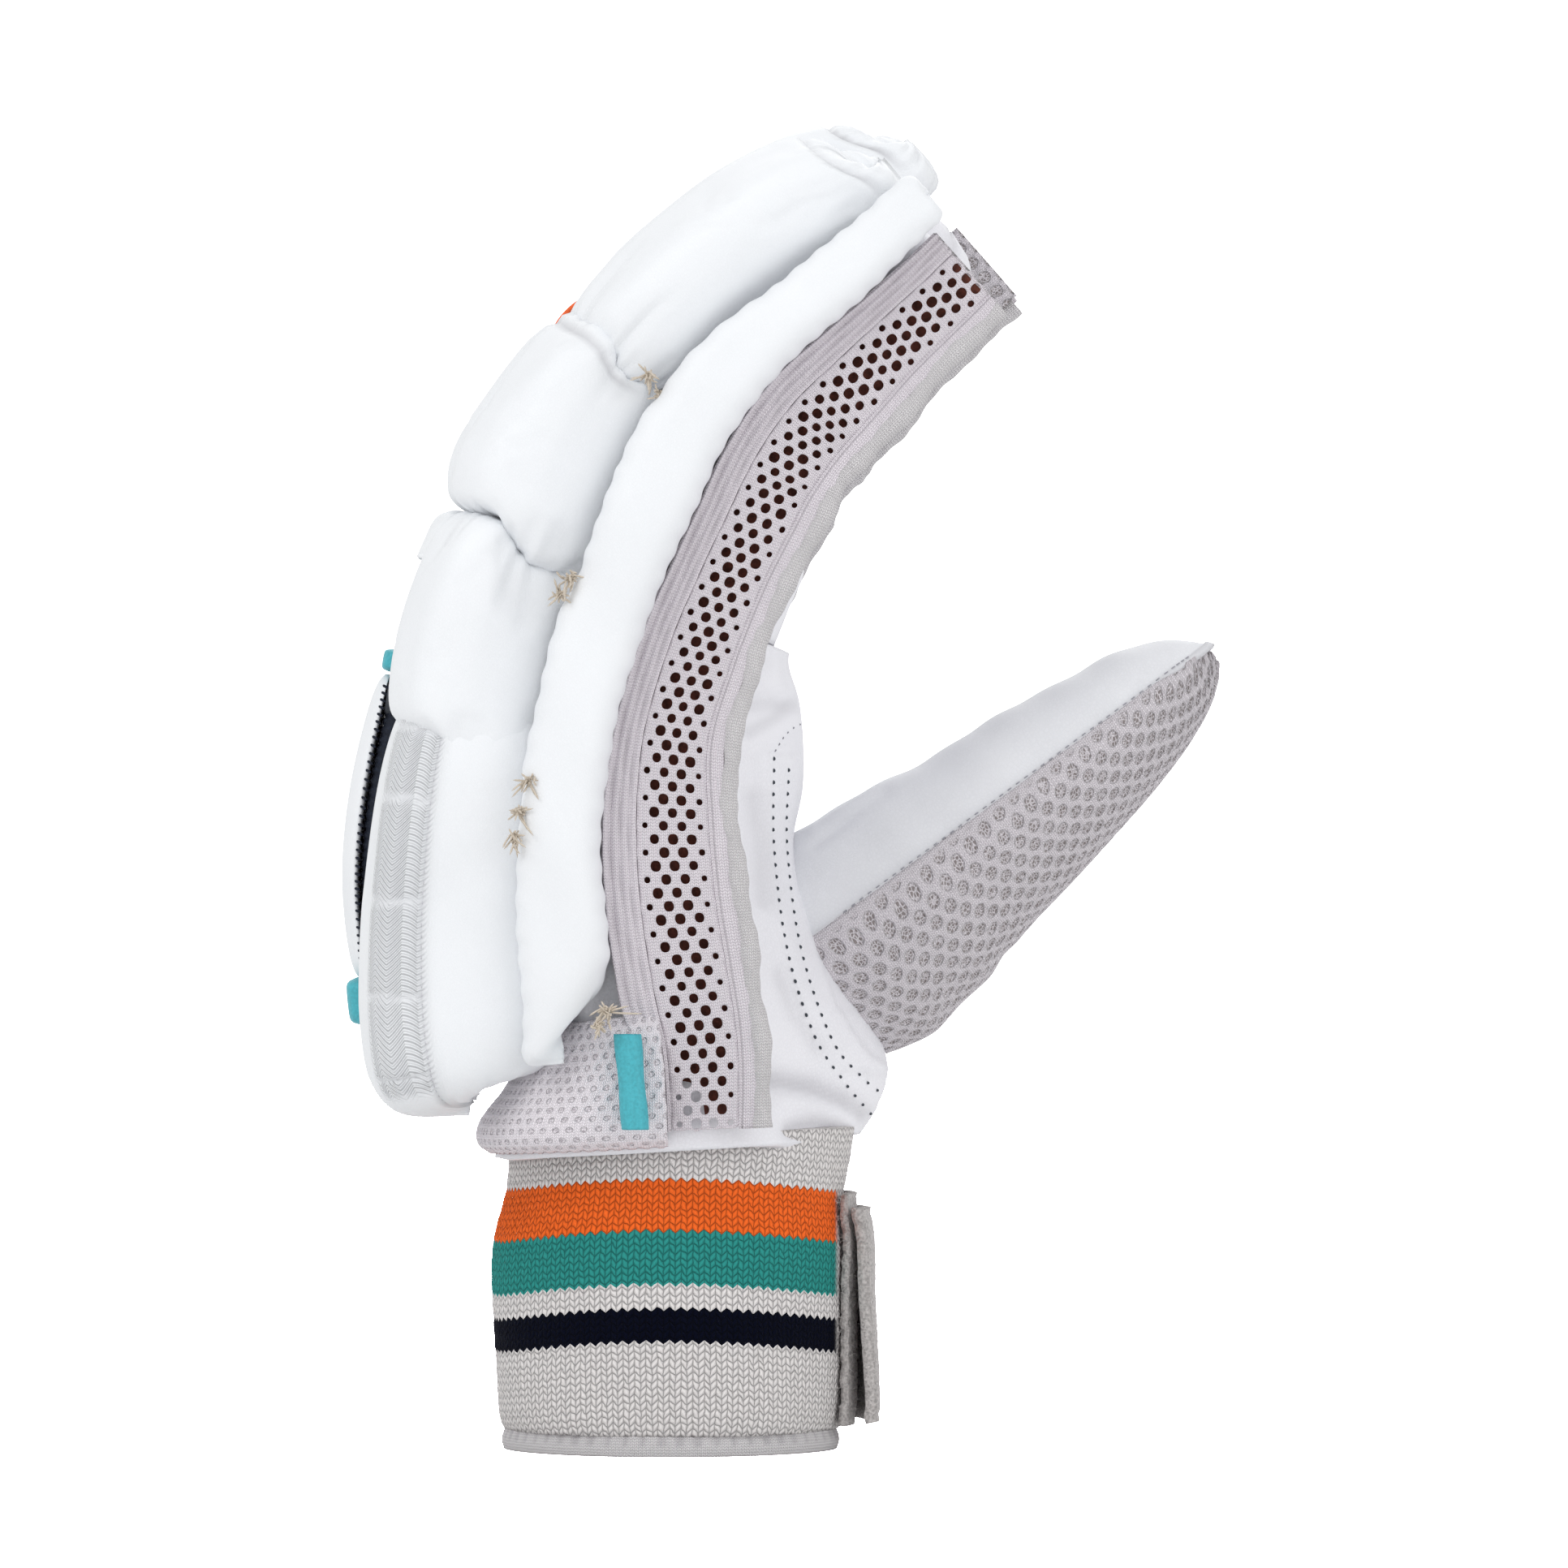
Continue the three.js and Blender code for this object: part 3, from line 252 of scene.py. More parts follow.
def surface(
    name, points, material, around=True, caps=False, maps=None, centre=None, replaces=(), wall=0.0,
    marks=None,
):
    """A piece from a grid of points: quads, closed around if asked, with capped ends and a wall inward.

    marks holds grids of values that the material reads as attributes.
    """
    rows, columns = points.shape[:2]
    uv = flat_map(points, around) if maps is None else maps
    row, column = np.meshgrid(
        np.arange(rows - 1), np.arange(columns if around else columns - 1), indexing="ij",
    )
    row, column = row.ravel(), column.ravel()
    after = (column + 1) % columns
    quads = np.stack(
        [
            row * columns + column, row * columns + after,
            (row + 1) * columns + after, (row + 1) * columns + column,
        ],
        -1,
    )
    corner_maps = np.stack(
        [uv[row, column], uv[row, column + 1], uv[row + 1, column + 1], uv[row + 1, column]], 1,
    )
    vertices = points.reshape(-1, 3)
    out = normals(points, around)
    middle = points.mean(axis=1, keepdims=True) if centre is None else np.asarray(centre, float)
    inside_out = np.sum(out * (points - middle)) < 0
    faces = quads.tolist()
    maps_list = [corner_maps.reshape(-1, 2)]
    if caps:
        spin = np.arange(columns)
        ends = [(0, True), (rows - 1, False)]
        for end, turned in ends:
            hub = len(vertices)
            vertices = np.vstack([vertices, points[end].mean(0)])
            first, second = end * columns + spin, end * columns + (spin + 1) % columns
            pair = [second, first] if turned else [first, second]
            faces += np.stack([np.full(columns, hub), *pair], -1).tolist()
            hub_map = np.broadcast_to(uv[end].mean(0), (columns, 2))
            edge = [uv[end, spin], uv[end, spin + 1]]
            maps_list.append(np.stack([hub_map, *(edge[::-1] if turned else edge)], 1).reshape(-1, 2))
    all_maps = np.vstack(maps_list)
    if inside_out:
        sizes = [len(face) for face in faces]
        starts = np.concatenate([[0], np.cumsum(sizes)])
        faces = [face[::-1] for face in faces]
        order = np.concatenate([np.arange(b - 1, a - 1, -1) for a, b in zip(starts[:-1], starts[1:])])
        all_maps = all_maps[order]
    piece = build(name, vertices, faces, material, all_maps, replaces)
    for label, values in (marks or {}).items():
        layer = piece.data.attributes.new(label, "FLOAT", "POINT")
        filled = np.zeros(len(vertices), np.float32)
        filled[: rows * columns] = np.broadcast_to(values, (rows, columns)).ravel()
        layer.data.foreach_set("value", filled)
    if wall:
        thickness = piece.modifiers.new("wall", "SOLIDIFY")
        thickness.thickness = wall * MM
        thickness.offset = -1
        thickness.use_even_offset = False
    return piece


# Places as seen from the little finger's side, and lines drawn there

CAMERA_DISTANCE = 2400.0
VIEW_MIDDLE = (23.3, 136.3)
SIXTH = 1 / 6


def seen(points):
    """Where points show on the plane y = 0 to an eye in front of the little finger's side."""
    scale = CAMERA_DISTANCE / (CAMERA_DISTANCE + points[..., 1])
    return tuple(VIEW_MIDDLE[i] + (points[..., 2 * i] - VIEW_MIDDLE[i]) * scale for i in (0, 1))


def spots(*pairs):
    """Places given in sixths of a millimetre, right of x = -137.7 and down from z = 297.3, as (x, z)."""
    pairs = np.array(pairs, float)
    return np.stack([(pairs[:, 0] - 826) * SIXTH, (1784 - pairs[:, 1]) * SIXTH], -1)


def line_distance(x, z, line):
    """The least distance from places to a line of spots."""
    best = np.full(np.shape(x), 1e9)
    for (ax, az), (bx, bz) in zip(line[:-1], line[1:]):
        dx, dz = bx - ax, bz - az
        t = np.clip(((x - ax) * dx + (z - az) * dz) / (dx * dx + dz * dz), 0, 1)
        best = np.minimum(best, np.hypot(x - ax - t * dx, z - az - t * dz))
    return best


def relief(points, folds, face=None):
    """Heights of folds drawn as seen: each is a bell across its line, with a height and a width."""
    x, z = seen(points)
    height = np.zeros(np.shape(x))
    for tall, wide, line in folds:
        height += tall * np.exp(-((line_distance(x, z, spots(*line)) / wide) ** 2))
    return height if face is None else height * face


def facing_eye(points, around=True, centre=None):
    """1 where a grid's surface faces the little finger's side, fading to 0 where it turns away."""
    return smoothstep(-outward(points, around, centre)[..., 1], 0.0, 0.35)


def smooth_line(line, step):
    """Points at even steps along a line of spots, with its corners rounded by cubics."""
    rows = {"at": np.arange(len(line), dtype=float), "x": line[:, 0], "z": line[:, 1]}
    t = np.linspace(0, len(line) - 1, 400)
    x, z = read(rows, "x", t), read(rows, "z", t)
    length = np.sum(np.hypot(np.diff(x), np.diff(z)))
    return np.stack(even(x, z, max(int(length / step), 2)), -1)


def on_piece(piece, line):
    """The points of a piece that show at spots, with its normals there."""
    mesh = piece.data
    tree = BVHTree.FromPolygons(
        [v.co / MM for v in mesh.vertices], [tuple(p.vertices) for p in mesh.polygons]
    )
    eye = Vector((VIEW_MIDDLE[0], -CAMERA_DISTANCE, VIEW_MIDDLE[1]))
    found = []
    for x, z in line:
        point, normal, _, _ = tree.ray_cast(eye, Vector((x, 0, z)) - eye)
        if point is not None:
            found.append((point, normal if normal.y < 0 else -normal))
    return np.array([p for p, _ in found]), np.array([n for _, n in found])


def unit(vectors):
    return vectors / np.maximum(np.linalg.norm(vectors, axis=-1, keepdims=True), 1e-9)


def tubes(name, paths, radius, material, sides=6):
    """Threads: round tubes of one radius along paths of points, tapered at their ends, in one piece."""
    vertices, faces = [], []
    for path in paths:
        path = np.asarray(path, float)
        along = unit(np.gradient(path, axis=0))
        across = unit(np.cross(along, (0.3, 0.8, 0.5)))
        third = np.cross(along, across)
        angle = np.linspace(0, 2 * math.pi, sides, endpoint=False)[None, :, None]
        t = np.linspace(-1, 1, len(path))[:, None, None]
        size = radius * (1 - 0.9 * np.abs(t) ** 8)
        ring = path[:, None] + size * (np.cos(angle) * across[:, None] + np.sin(angle) * third[:, None])
        base = sum(len(v) for v in vertices)
        row, column = np.meshgrid(np.arange(len(path) - 1), np.arange(sides), indexing="ij")
        a, b = row * sides + column, row * sides + (column + 1) % sides
        faces += (np.stack([a, b, b + sides, a + sides], -1).reshape(-1, 4) + base).tolist()
        last = base + (len(path) - 1) * sides
        faces.append([base + sides - 1 - i for i in range(sides)])
        faces.append([last + i for i in range(sides)])
        vertices.append(ring.reshape(-1, 3))
    return build(name, np.vstack(vertices), faces, material)


def stitches(name, rows, material, length=1.5, radius=0.22, sink=0.05):
    """Rows of short threads laid along lines of points, each bowed out of the surface along its normal."""
    paths = []
    for points, out in rows:
        along = unit(np.gradient(points, axis=0))
        t = np.linspace(-1, 1, 6)[:, None, None]
        bow = (1 - t**2) * (radius * 1.4) - radius * 0.8 - sink
        short = points[None] + along[None] * t * length / 2 + out[None] * bow
        paths += list(np.swapaxes(short, 0, 1))
    return tubes(name, paths, radius, material)


def tuft(middle, reach, seed, count=12, droop=0.0):
    """Loose thread ends: curved paths that leave a knot in scattered directions."""
    chance = np.random.default_rng(seed)
    paths = []
    for _ in range(count):
        way = unit(chance.normal(size=3) * (1, 0.5, 1) + (0, -0.6, -droop))
        bend = chance.normal(size=3) * 0.45
        t = np.linspace(0, 1, 8)[:, None]
        start = np.asarray(middle) + chance.normal(size=3) * 0.35
        long = reach * chance.uniform(0.45, 1.0)
        paths.append(start + way * t * long + bend * (t**2) * long + (0, 0, -0.35 * droop) * t**2 * long)
    return paths


# Node groups and materials


def add(tree, kind, inputs=None, **settings):
    """A node with its options set and its inputs filled or linked, by name or number."""
    node = tree.nodes.new(kind)
    for option, value in settings.items():
        setattr(node, option, value)
    for key, value in (inputs or {}).items():
        if isinstance(value, bpy.types.NodeSocket):
            tree.links.new(value, node.inputs[key])
        else:
            node.inputs[key].default_value = value
    return node


def calc(tree, operation, *values):
    """A Math node's result."""
    return add(tree, "ShaderNodeMath", dict(enumerate(values)), operation=operation).outputs[0]


def new_group(name, inputs, outputs):
    """An empty node group with float and vector inputs and float outputs, and its two end nodes."""
    tree = bpy.data.node_groups.new(name, "ShaderNodeTree")
    for label, default in inputs.items():
        kind = "NodeSocketVector" if default is None else "NodeSocketFloat"
        socket = tree.interface.new_socket(label, in_out="INPUT", socket_type=kind)
        if default is not None:
            socket.default_value = default
    for label in outputs:
        tree.interface.new_socket(label, in_out="OUTPUT", socket_type="NodeSocketFloat")
    return tree, add(tree, "NodeGroupInput"), add(tree, "NodeGroupOutput")


def grain_group():
    """Leather grain: small rounded cells between fine valleys, with slow creases; lengths in metres."""
    tree, given, result = new_group(
        "leather_grain", {"Position": None, "Cell": 0.0008, "Crease": 0.006}, ["Height", "Tone"],
    )
    scale = calc(tree, "DIVIDE", 1.0, given.outputs["Cell"])
    cells = add(
        tree, "ShaderNodeTexVoronoi", {"Vector": given.outputs["Position"], "Scale": scale},
        feature="DISTANCE_TO_EDGE",
    )
    rounded = calc(
        tree, "POWER", calc(tree, "MINIMUM", calc(tree, "MULTIPLY", cells.outputs[0], 3.0), 1.0), 0.6,
    )
    crease_scale = calc(tree, "DIVIDE", 1.0, given.outputs["Crease"])
    creases = add(
        tree, "ShaderNodeTexNoise",
        {"Vector": given.outputs["Position"], "Scale": crease_scale, "Detail": 5.0},
    )
    fine = calc(tree, "MULTIPLY", rounded, 0.3)
    tree.links.new(calc(tree, "ADD", fine, creases.outputs["Fac"]), result.inputs["Height"])
    slow = add(
        tree, "ShaderNodeTexNoise", {"Vector": given.outputs["Position"], "Scale": 38.0, "Detail": 3.0},
    )
    tone = calc(tree, "ADD", calc(tree, "MULTIPLY", rounded, 0.2), slow.outputs["Fac"])
    tree.links.new(tone, result.inputs["Tone"])
    return tree


def knit_group():
    """Knitted loops: columns of slanted legs that meet in a V, on a map in millimetres."""
    tree, given, result = new_group(
        "knit_loops", {"Map": None, "Wale": 1.5, "Course": 1.2, "Slant": 1.0}, ["Height", "Column"],
    )
    split = add(tree, "ShaderNodeSeparateXYZ", {0: given.outputs["Map"]})
    wobble = add(tree, "ShaderNodeTexNoise", {"Vector": given.outputs["Map"], "Scale": 0.5, "Detail": 2.0})
    across = calc(tree, "DIVIDE", split.outputs["X"], given.outputs["Wale"])
    across = calc(tree, "ADD", across, calc(tree, "MULTIPLY", wobble.outputs["Fac"], 0.35))
    up = calc(tree, "DIVIDE", split.outputs["Y"], given.outputs["Course"])
    fold = calc(tree, "ABSOLUTE", calc(tree, "SUBTRACT", calc(tree, "FRACT", across), 0.5))
    lift = calc(tree, "ADD", up, calc(tree, "MULTIPLY", fold, given.outputs["Slant"]))
    lift = calc(tree, "ADD", lift, calc(tree, "MULTIPLY", wobble.outputs["Fac"], 0.6))
    yarn = calc(tree, "ABSOLUTE", calc(tree, "SINE", calc(tree, "MULTIPLY", lift, math.pi)))
    leg = calc(tree, "ABSOLUTE", calc(tree, "SINE", calc(tree, "MULTIPLY", fold, 2 * math.pi)))
    leg = calc(tree, "POWER", leg, 0.5)
    fuzz = add(tree, "ShaderNodeTexNoise", {"Vector": given.outputs["Map"], "Scale": 5.0, "Detail": 3.0})
    height = calc(tree, "MULTIPLY", calc(tree, "POWER", yarn, 0.7), leg)
    height = calc(tree, "ADD", height, calc(tree, "MULTIPLY", fuzz.outputs["Fac"], 0.25))
    tree.links.new(height, result.inputs["Height"])
    tree.links.new(fold, result.inputs["Column"])
    return tree


def dimple_group():
    """Round dimples in staggered rows on a map in millimetres, each with a net of threads inside."""
    tree, given, result = new_group(
        "dimples", {"Map": None, "Along": 4.3, "Across": 7.0, "Size": 1.4}, ["Hole", "Net"],
    )
    split = add(tree, "ShaderNodeSeparateXYZ", {0: given.outputs["Map"]})
    distances = []
    for shift in (0.0, 0.5):
        squares = []
        for axis, pitch in (("X", "Along"), ("Y", "Across")):
            turns = calc(
                tree, "ADD", calc(tree, "DIVIDE", split.outputs[axis], given.outputs[pitch]), shift,
            )
            off = calc(tree, "SUBTRACT", calc(tree, "FRACT", turns), 0.5)
            squares.append(calc(tree, "POWER", calc(tree, "MULTIPLY", off, given.outputs[pitch]), 2.0))
        distances.append(calc(tree, "SQRT", calc(tree, "ADD", *squares)))
    wobble = add(tree, "ShaderNodeTexNoise", {"Vector": given.outputs["Map"], "Scale": 1.4, "Detail": 2.0})
    near = calc(
        tree, "ADD", calc(tree, "MINIMUM", *distances), calc(tree, "MULTIPLY", wobble.outputs["Fac"], 0.5),
    )
    near = calc(tree, "DIVIDE", calc(tree, "SUBTRACT", near, 0.25), given.outputs["Size"])
    hole = add(
        tree, "ShaderNodeMapRange", {0: near, 1: 0.8, 2: 1.12, 3: 1.0, 4: 0.0},
        interpolation_type="SMOOTHSTEP",
    )
    tree.links.new(hole.outputs[0], result.inputs["Hole"])
    net = add(
        tree, "ShaderNodeTexVoronoi", {"Vector": given.outputs["Map"], "Scale": 1.5},
        feature="DISTANCE_TO_EDGE",
    )
    tree.links.new(calc(tree, "MULTIPLY", net.outputs[0], 3.0), result.inputs["Net"])
    return tree


GRAIN = grain_group()
KNIT = knit_group()
DIMPLES = dimple_group()


def start_material(name, roughness, sheen=0.0, specular=0.4):
    """A material with its plain values set on the shader, and its tree and shader."""
    material = bpy.data.materials.new(name)
    material.use_nodes = True
    tree = material.node_tree
    shader = tree.nodes["Principled BSDF"]
    shader.inputs["Roughness"].default_value = roughness
    shader.inputs["Specular IOR Level"].default_value = specular
    shader.inputs["Sheen Weight"].default_value = sheen
    shader.inputs["Sheen Roughness"].default_value = 0.4
    return material, tree, shader


def ramp(tree, value, *stops, hard=False):
    """A colour ramp of (place, colour) stops."""
    node = add(tree, "ShaderNodeValToRGB", {0: value})
    elements = node.color_ramp.elements
    while len(elements) < len(stops):
        elements.new(0.5)
    for element, (at, color) in zip(elements, stops):
        element.position = at
        element.color = (*color, 1.0)
    if hard:
        node.color_ramp.interpolation = "CONSTANT"
    return node.outputs["Color"]


def mixed(tree, blend, factor, first, second):
    """Two colours blended as named."""
    return add(tree, "ShaderNodeMixRGB", {0: factor, 1: first, 2: second}, blend_type=blend).outputs[0]


def mark(tree, name):
    """An attribute of the piece as a value; 0 where the piece has none."""
    return add(tree, "ShaderNodeAttribute", attribute_name=name).outputs["Fac"]


def group(tree, shared, vector, **values):
    """A shared node group fed with a vector and constants."""
    node = add(tree, "ShaderNodeGroup", node_tree=shared)
    tree.links.new(vector, node.inputs[0])
    for key, value in values.items():
        node.inputs[key].default_value = value
    return node


def set_bump(tree, shader, height, distance, strength=1.0):
    """Feeds a height in millimetres of the given distance to the shader's normal."""
    node = add(tree, "ShaderNodeBump", {"Height": height, "Distance": distance * MM, "Strength": strength})
    tree.links.new(node.outputs["Normal"], shader.inputs["Normal"])


def leather(name, light, dark, roughness, cell, crease, depth):
    """Grained leather with slow changes of tone, painted shade in marked folds, and waved where embossed."""
    material, tree, shader = start_material(name, roughness, sheen=0.06)
    coords = add(tree, "ShaderNodeTexCoord").outputs["Object"]
    grain = group(tree, GRAIN, coords, Cell=cell, Crease=crease)
    color = ramp(tree, grain.outputs["Tone"], (0.35, dark), (0.75, light))
    # Painted shade: where the fold mark is set, the colour is mixed towards a dark grey.
    shade = calc(tree, "MULTIPLY", mark(tree, "fold"), 0.75)
    color = mixed(tree, "MIX", shade, color, (0.34, 0.33, 0.36, 1.0))
    cloth = add(tree, "ShaderNodeUVMap", uv_map="cloth").outputs["UV"]
    split = add(tree, "ShaderNodeSeparateXYZ", {0: cloth})
    zigzag = calc(tree, "PINGPONG", split.outputs["X"], 2.6)
    wave = calc(tree, "SINE", calc(tree, "MULTIPLY", split.outputs["X"], 0.9))
    along = calc(tree, "ADD", split.outputs["Y"], calc(tree, "MULTIPLY", zigzag, 0.7))
    along = calc(tree, "ADD", along, calc(tree, "MULTIPLY", wave, 0.5))
    chevron = calc(tree, "SINE", calc(tree, "MULTIPLY", along, 2 * math.pi / 1.15))
    chevron = calc(tree, "MULTIPLY", calc(tree, "MULTIPLY", chevron, mark(tree, "emboss")), 4.5)
    tree.links.new(color, shader.inputs["Base Color"])
    set_bump(tree, shader, calc(tree, "ADD", grain.outputs["Height"], chevron), depth)
    return material


def knitted(name, light, dark, wale, course, depth, slant=1.0, roughness=0.9):
    """Cloth of knitted loops on the piece's own map, with painted shade between the loops and in marked
    folds.
    """
    material, tree, shader = start_material(name, roughness, sheen=0.2, specular=0.2)
    coords = add(tree, "ShaderNodeUVMap", uv_map="cloth").outputs["UV"]
    knit = group(tree, KNIT, coords, Wale=wale, Course=course, Slant=slant)
    # Painted shade: the dark colour goes where the loops sink.
    color = ramp(tree, knit.outputs["Height"], (0.1, dark), (0.75, light))
    # Painted shade: where the fold mark is set, the colour is mixed towards a dark grey.
    color = mixed(
        tree, "MIX", calc(tree, "MULTIPLY", mark(tree, "fold"), 0.6), color, (0.36, 0.33, 0.37, 1.0),
    )
    tree.links.new(color, shader.inputs["Base Color"])
    set_bump(tree, shader, knit.outputs["Height"], depth)
    return material


def spacer(name, light, dark, hollow, along, across, size):
    """Open mesh: dimples in rows, each with a net of threads at its bottom whose gaps are painted shade, in
    cloth of fine loops with painted shade between the loops.
    """
    material, tree, shader = start_material(name, 0.9, sheen=0.2, specular=0.2)
    coords = add(tree, "ShaderNodeUVMap", uv_map="cloth").outputs["UV"]
    knit = group(tree, KNIT, coords, Wale=0.9, Course=0.62, Slant=1.4)
    holes = group(tree, DIMPLES, coords, Along=along, Across=across, Size=size)
    hole = calc(tree, "MULTIPLY", holes.outputs["Hole"], calc(tree, "SUBTRACT", 1.0, mark(tree, "plain")))
    # Painted shade: the dark colour goes where the loops sink.
    cloth = ramp(tree, knit.outputs["Height"], (0.1, dark), (0.75, light))
    # Painted shade: the hollow colour fills the gaps between the net's threads.
    net = ramp(tree, holes.outputs["Net"], (0.15, light), (0.6, hollow))
    tree.links.new(mixed(tree, "MIX", hole, cloth, net), shader.inputs["Base Color"])
    height = calc(tree, "ADD", knit.outputs["Height"], calc(tree, "MULTIPLY", hole, -3.2))
    set_bump(tree, shader, height, 0.2)
    return material


PALE_KNIT = (0.84, 0.81, 0.80)
STRIPES = (
    (0.0, PALE_KNIT), (19.9, (0.001, 0.002, 0.010)), (26.6, PALE_KNIT),
    (31.5, (0.032, 0.31, 0.28)),
    (42.3, (1.0, 0.16, 0.025)), (52.6, PALE_KNIT),
)


def striped_knit(name, wale, course, depth):
    """The cuff's coarse knit: stripes by height on the map, whose edges step with the loops."""
    material, tree, shader = start_material(name, 0.95, sheen=0.0, specular=0.1)
    coords = add(tree, "ShaderNodeUVMap", uv_map="cloth").outputs["UV"]
    knit = group(tree, KNIT, coords, Wale=wale, Course=course, Slant=1.3)
    split = add(tree, "ShaderNodeSeparateXYZ", {0: coords})
    stepped = calc(tree, "ADD", split.outputs["Y"], calc(tree, "MULTIPLY", knit.outputs["Column"], 1.8))
    stepped = calc(tree, "DIVIDE", calc(tree, "SUBTRACT", stepped, 0.45), CUFF_TOP)
    stops = [(at / CUFF_TOP, color) for at, color in STRIPES]
    color = ramp(tree, stepped, *stops, hard=True)
    color = mixed(tree, "MIX", mark(tree, "plain"), color, (*PALE_KNIT, 1.0))
    shade = ramp(tree, knit.outputs["Height"], (0.1, (0.42, 0.42, 0.43)), (0.7, (1, 1, 1)))
    tree.links.new(mixed(tree, "MULTIPLY", 1.0, color, shade), shader.inputs["Base Color"])
    set_bump(tree, shader, knit.outputs["Height"], depth)
    return material


def plain(name, color, roughness, depth=0.1, scale=900.0, low=0.82, sheen=0.0):
    """One colour with a fine uneven surface and slightly uneven tone."""
    material, tree, shader = start_material(name, roughness, sheen=sheen)
    coords = add(tree, "ShaderNodeTexCoord")
    noise = add(
        tree, "ShaderNodeTexNoise", {"Vector": coords.outputs["Object"], "Scale": scale, "Detail": 3.0},
    )
    dark = tuple(c * low for c in color)
    tree.links.new(
        ramp(tree, noise.outputs["Fac"], (0.35, dark), (0.65, color)), shader.inputs["Base Color"],
    )
    set_bump(tree, shader, noise.outputs["Fac"], depth)
    return material


# Pitch along, pitch across and size of the dimples in the two open meshes, in millimetres
THUMB_DIMPLES = (4.3, 7.0, 1.38)
HEEL_DIMPLES = (2.6, 4.6, 0.62)
CUFF_WALE = 2.4
CUFF_COURSE = 1.45

PAD_LEATHER = leather("pad leather", (0.86, 0.88, 0.905), (0.82, 0.84, 0.865), 0.48, 0.0006, 0.011, 0.06)
PALM_LEATHER = leather("palm leather", (0.86, 0.86, 0.90), (0.78, 0.78, 0.82), 0.52, 0.0009, 0.005, 0.12)
THUMB_LEATHER = leather("thumb leather", (0.80, 0.81, 0.84), (0.74, 0.75, 0.78), 0.5, 0.0008, 0.007, 0.08)
MESH_CLOTH = knitted("side mesh cloth", (0.86, 0.81, 0.86), (0.62, 0.56, 0.62), 0.9, 0.62, 0.22)
HEM_CLOTH = knitted("rolled hem cloth", (0.80, 0.78, 0.79), (0.58, 0.55, 0.58), 0.8, 0.6, 0.25)
# The third colour of each open mesh is painted shade in the hollows of its dimples.
SPACER_CLOTH = spacer(
    "open mesh", (0.80, 0.76, 0.80), (0.58, 0.54, 0.58), (0.33, 0.29, 0.29), *THUMB_DIMPLES,
)
HEEL_CLOTH = spacer(
    "fine open mesh", (0.98, 0.93, 0.98), (0.82, 0.77, 0.83), (0.6, 0.55, 0.6), *HEEL_DIMPLES,
)
TAPE_FUZZ = plain("fuzzy tape", (0.58, 0.55, 0.54), 1.0, 0.5, 1700.0, 0.6, 0.3)
TEAL = plain("teal tube", (0.07, 0.46, 0.54), 0.5, 0.05, 1500.0)
NAVY = plain("navy border", (0.008, 0.014, 0.032), 0.7, 0.25, 1800.0, 0.5)
GREY_EDGE = plain("grey border ends", (0.055, 0.062, 0.075), 0.75, 0.2, 1800.0, 0.7)
ORANGE = plain("orange patch", (0.95, 0.14, 0.02), 0.5, 0.1, 1500.0)
# The liner seen through the eyelets: partly the lining's own brown, darkened with painted shade of the hollow
# behind.
LINER_IN_PAINTED_SHADE = plain("brown liner", (0.13, 0.032, 0.018), 0.8, 0.2, 900.0, 0.55)
THREAD = plain("cream thread", (0.70, 0.62, 0.52), 0.9, 0.2, 3000.0)
STITCH = plain("grey stitches", (0.36, 0.36, 0.40), 0.8, 0.1, 3000.0)
# Painted shade: dark beads stand in for the shade inside the needle holes.
NEEDLE_HOLE_SHADE = plain("needle hole shade", (0.06, 0.07, 0.085), 0.9, 0.1, 3000.0)
SEAM_THREAD = plain("white seam thread", (0.66, 0.66, 0.70), 0.8, 0.1, 3000.0)
CUFF_STRIPES = striped_knit("striped knit", CUFF_WALE, CUFF_COURSE, 0.5)
TAPE_HAIR = plain("tape hairs", (0.62, 0.60, 0.59), 0.9, 0.0, 1500.0)


# The palm, hollow and open at the wrist

PALM_ROWS = table(
    "at half back near thumb",
    (0, 0.845, 1.9, 1.5, 0.86), (0.03, 0.87, 1.76, 1.3, 0.95), (0.065, 0.9, 1.5, 1.16, 1),
    (0.1, 0.92, 1.32, 1.12, 0.955),
    (0.15, 0.95, 1.18, 1.12, 0.83), (0.22, 0.98, 1.05, 1.06, 0.72), (0.3, 1, 1, 1, 0.655),
    (0.38, 1, 1, 0.98, 0.68),
    (0.43, 1, 1, 0.94, 0.655), (0.48, 1, 1, 0.95, 0.6), (0.535, 1, 1, 0.98, 0.5), (0.7, 1, 1, 1, 0.42),
    (0.9, 0.96, 0.92, 0.94, 0.4), (1.04, 0.86, 0.8, 0.85, 0.38),
)
PALM_POWER = 3.0
# Folds of the palm as seen: height and width in millimetres, and a line of spots.
PALM_FOLDS = (
    (-1.6, 2.2, ((955, 1332), (1000, 1340), (1040, 1358), (1062, 1378))),
    (1.1, 2.6, ((965, 1352), (1010, 1362), (1050, 1382))),
    (-1.0, 2.0, ((975, 1392), (1005, 1385), (1040, 1392))),
    (-0.7, 1.6, ((925, 905), (955, 888), (985, 862))), (0.6, 1.8, ((925, 925), (960, 905), (995, 885))),
    (-0.6, 1.6, ((920, 872), (950, 868), (980, 872))), (0.5, 2.0, ((918, 850), (950, 846), (985, 852))),
    (-0.6, 2.2, ((930, 985), (940, 1040), (942, 1110))), (-0.5, 2.0, ((975, 800), (988, 850), (1000, 895))),
    (-0.7, 1.4, ((905, 800), (940, 790), (975, 770))), (0.5, 1.8, ((905, 820), (945, 812), (980, 800))),
    (-0.6, 1.5, ((905, 735), (940, 728), (972, 712))),
    (-0.5, 1.5, ((960, 1200), (980, 1250), (1005, 1290))),
)
BAND_EDGE = ((987, 930), (985, 959), (983, 1051), (998, 1150), (1029, 1238), (1067, 1296), (1105, 1321))
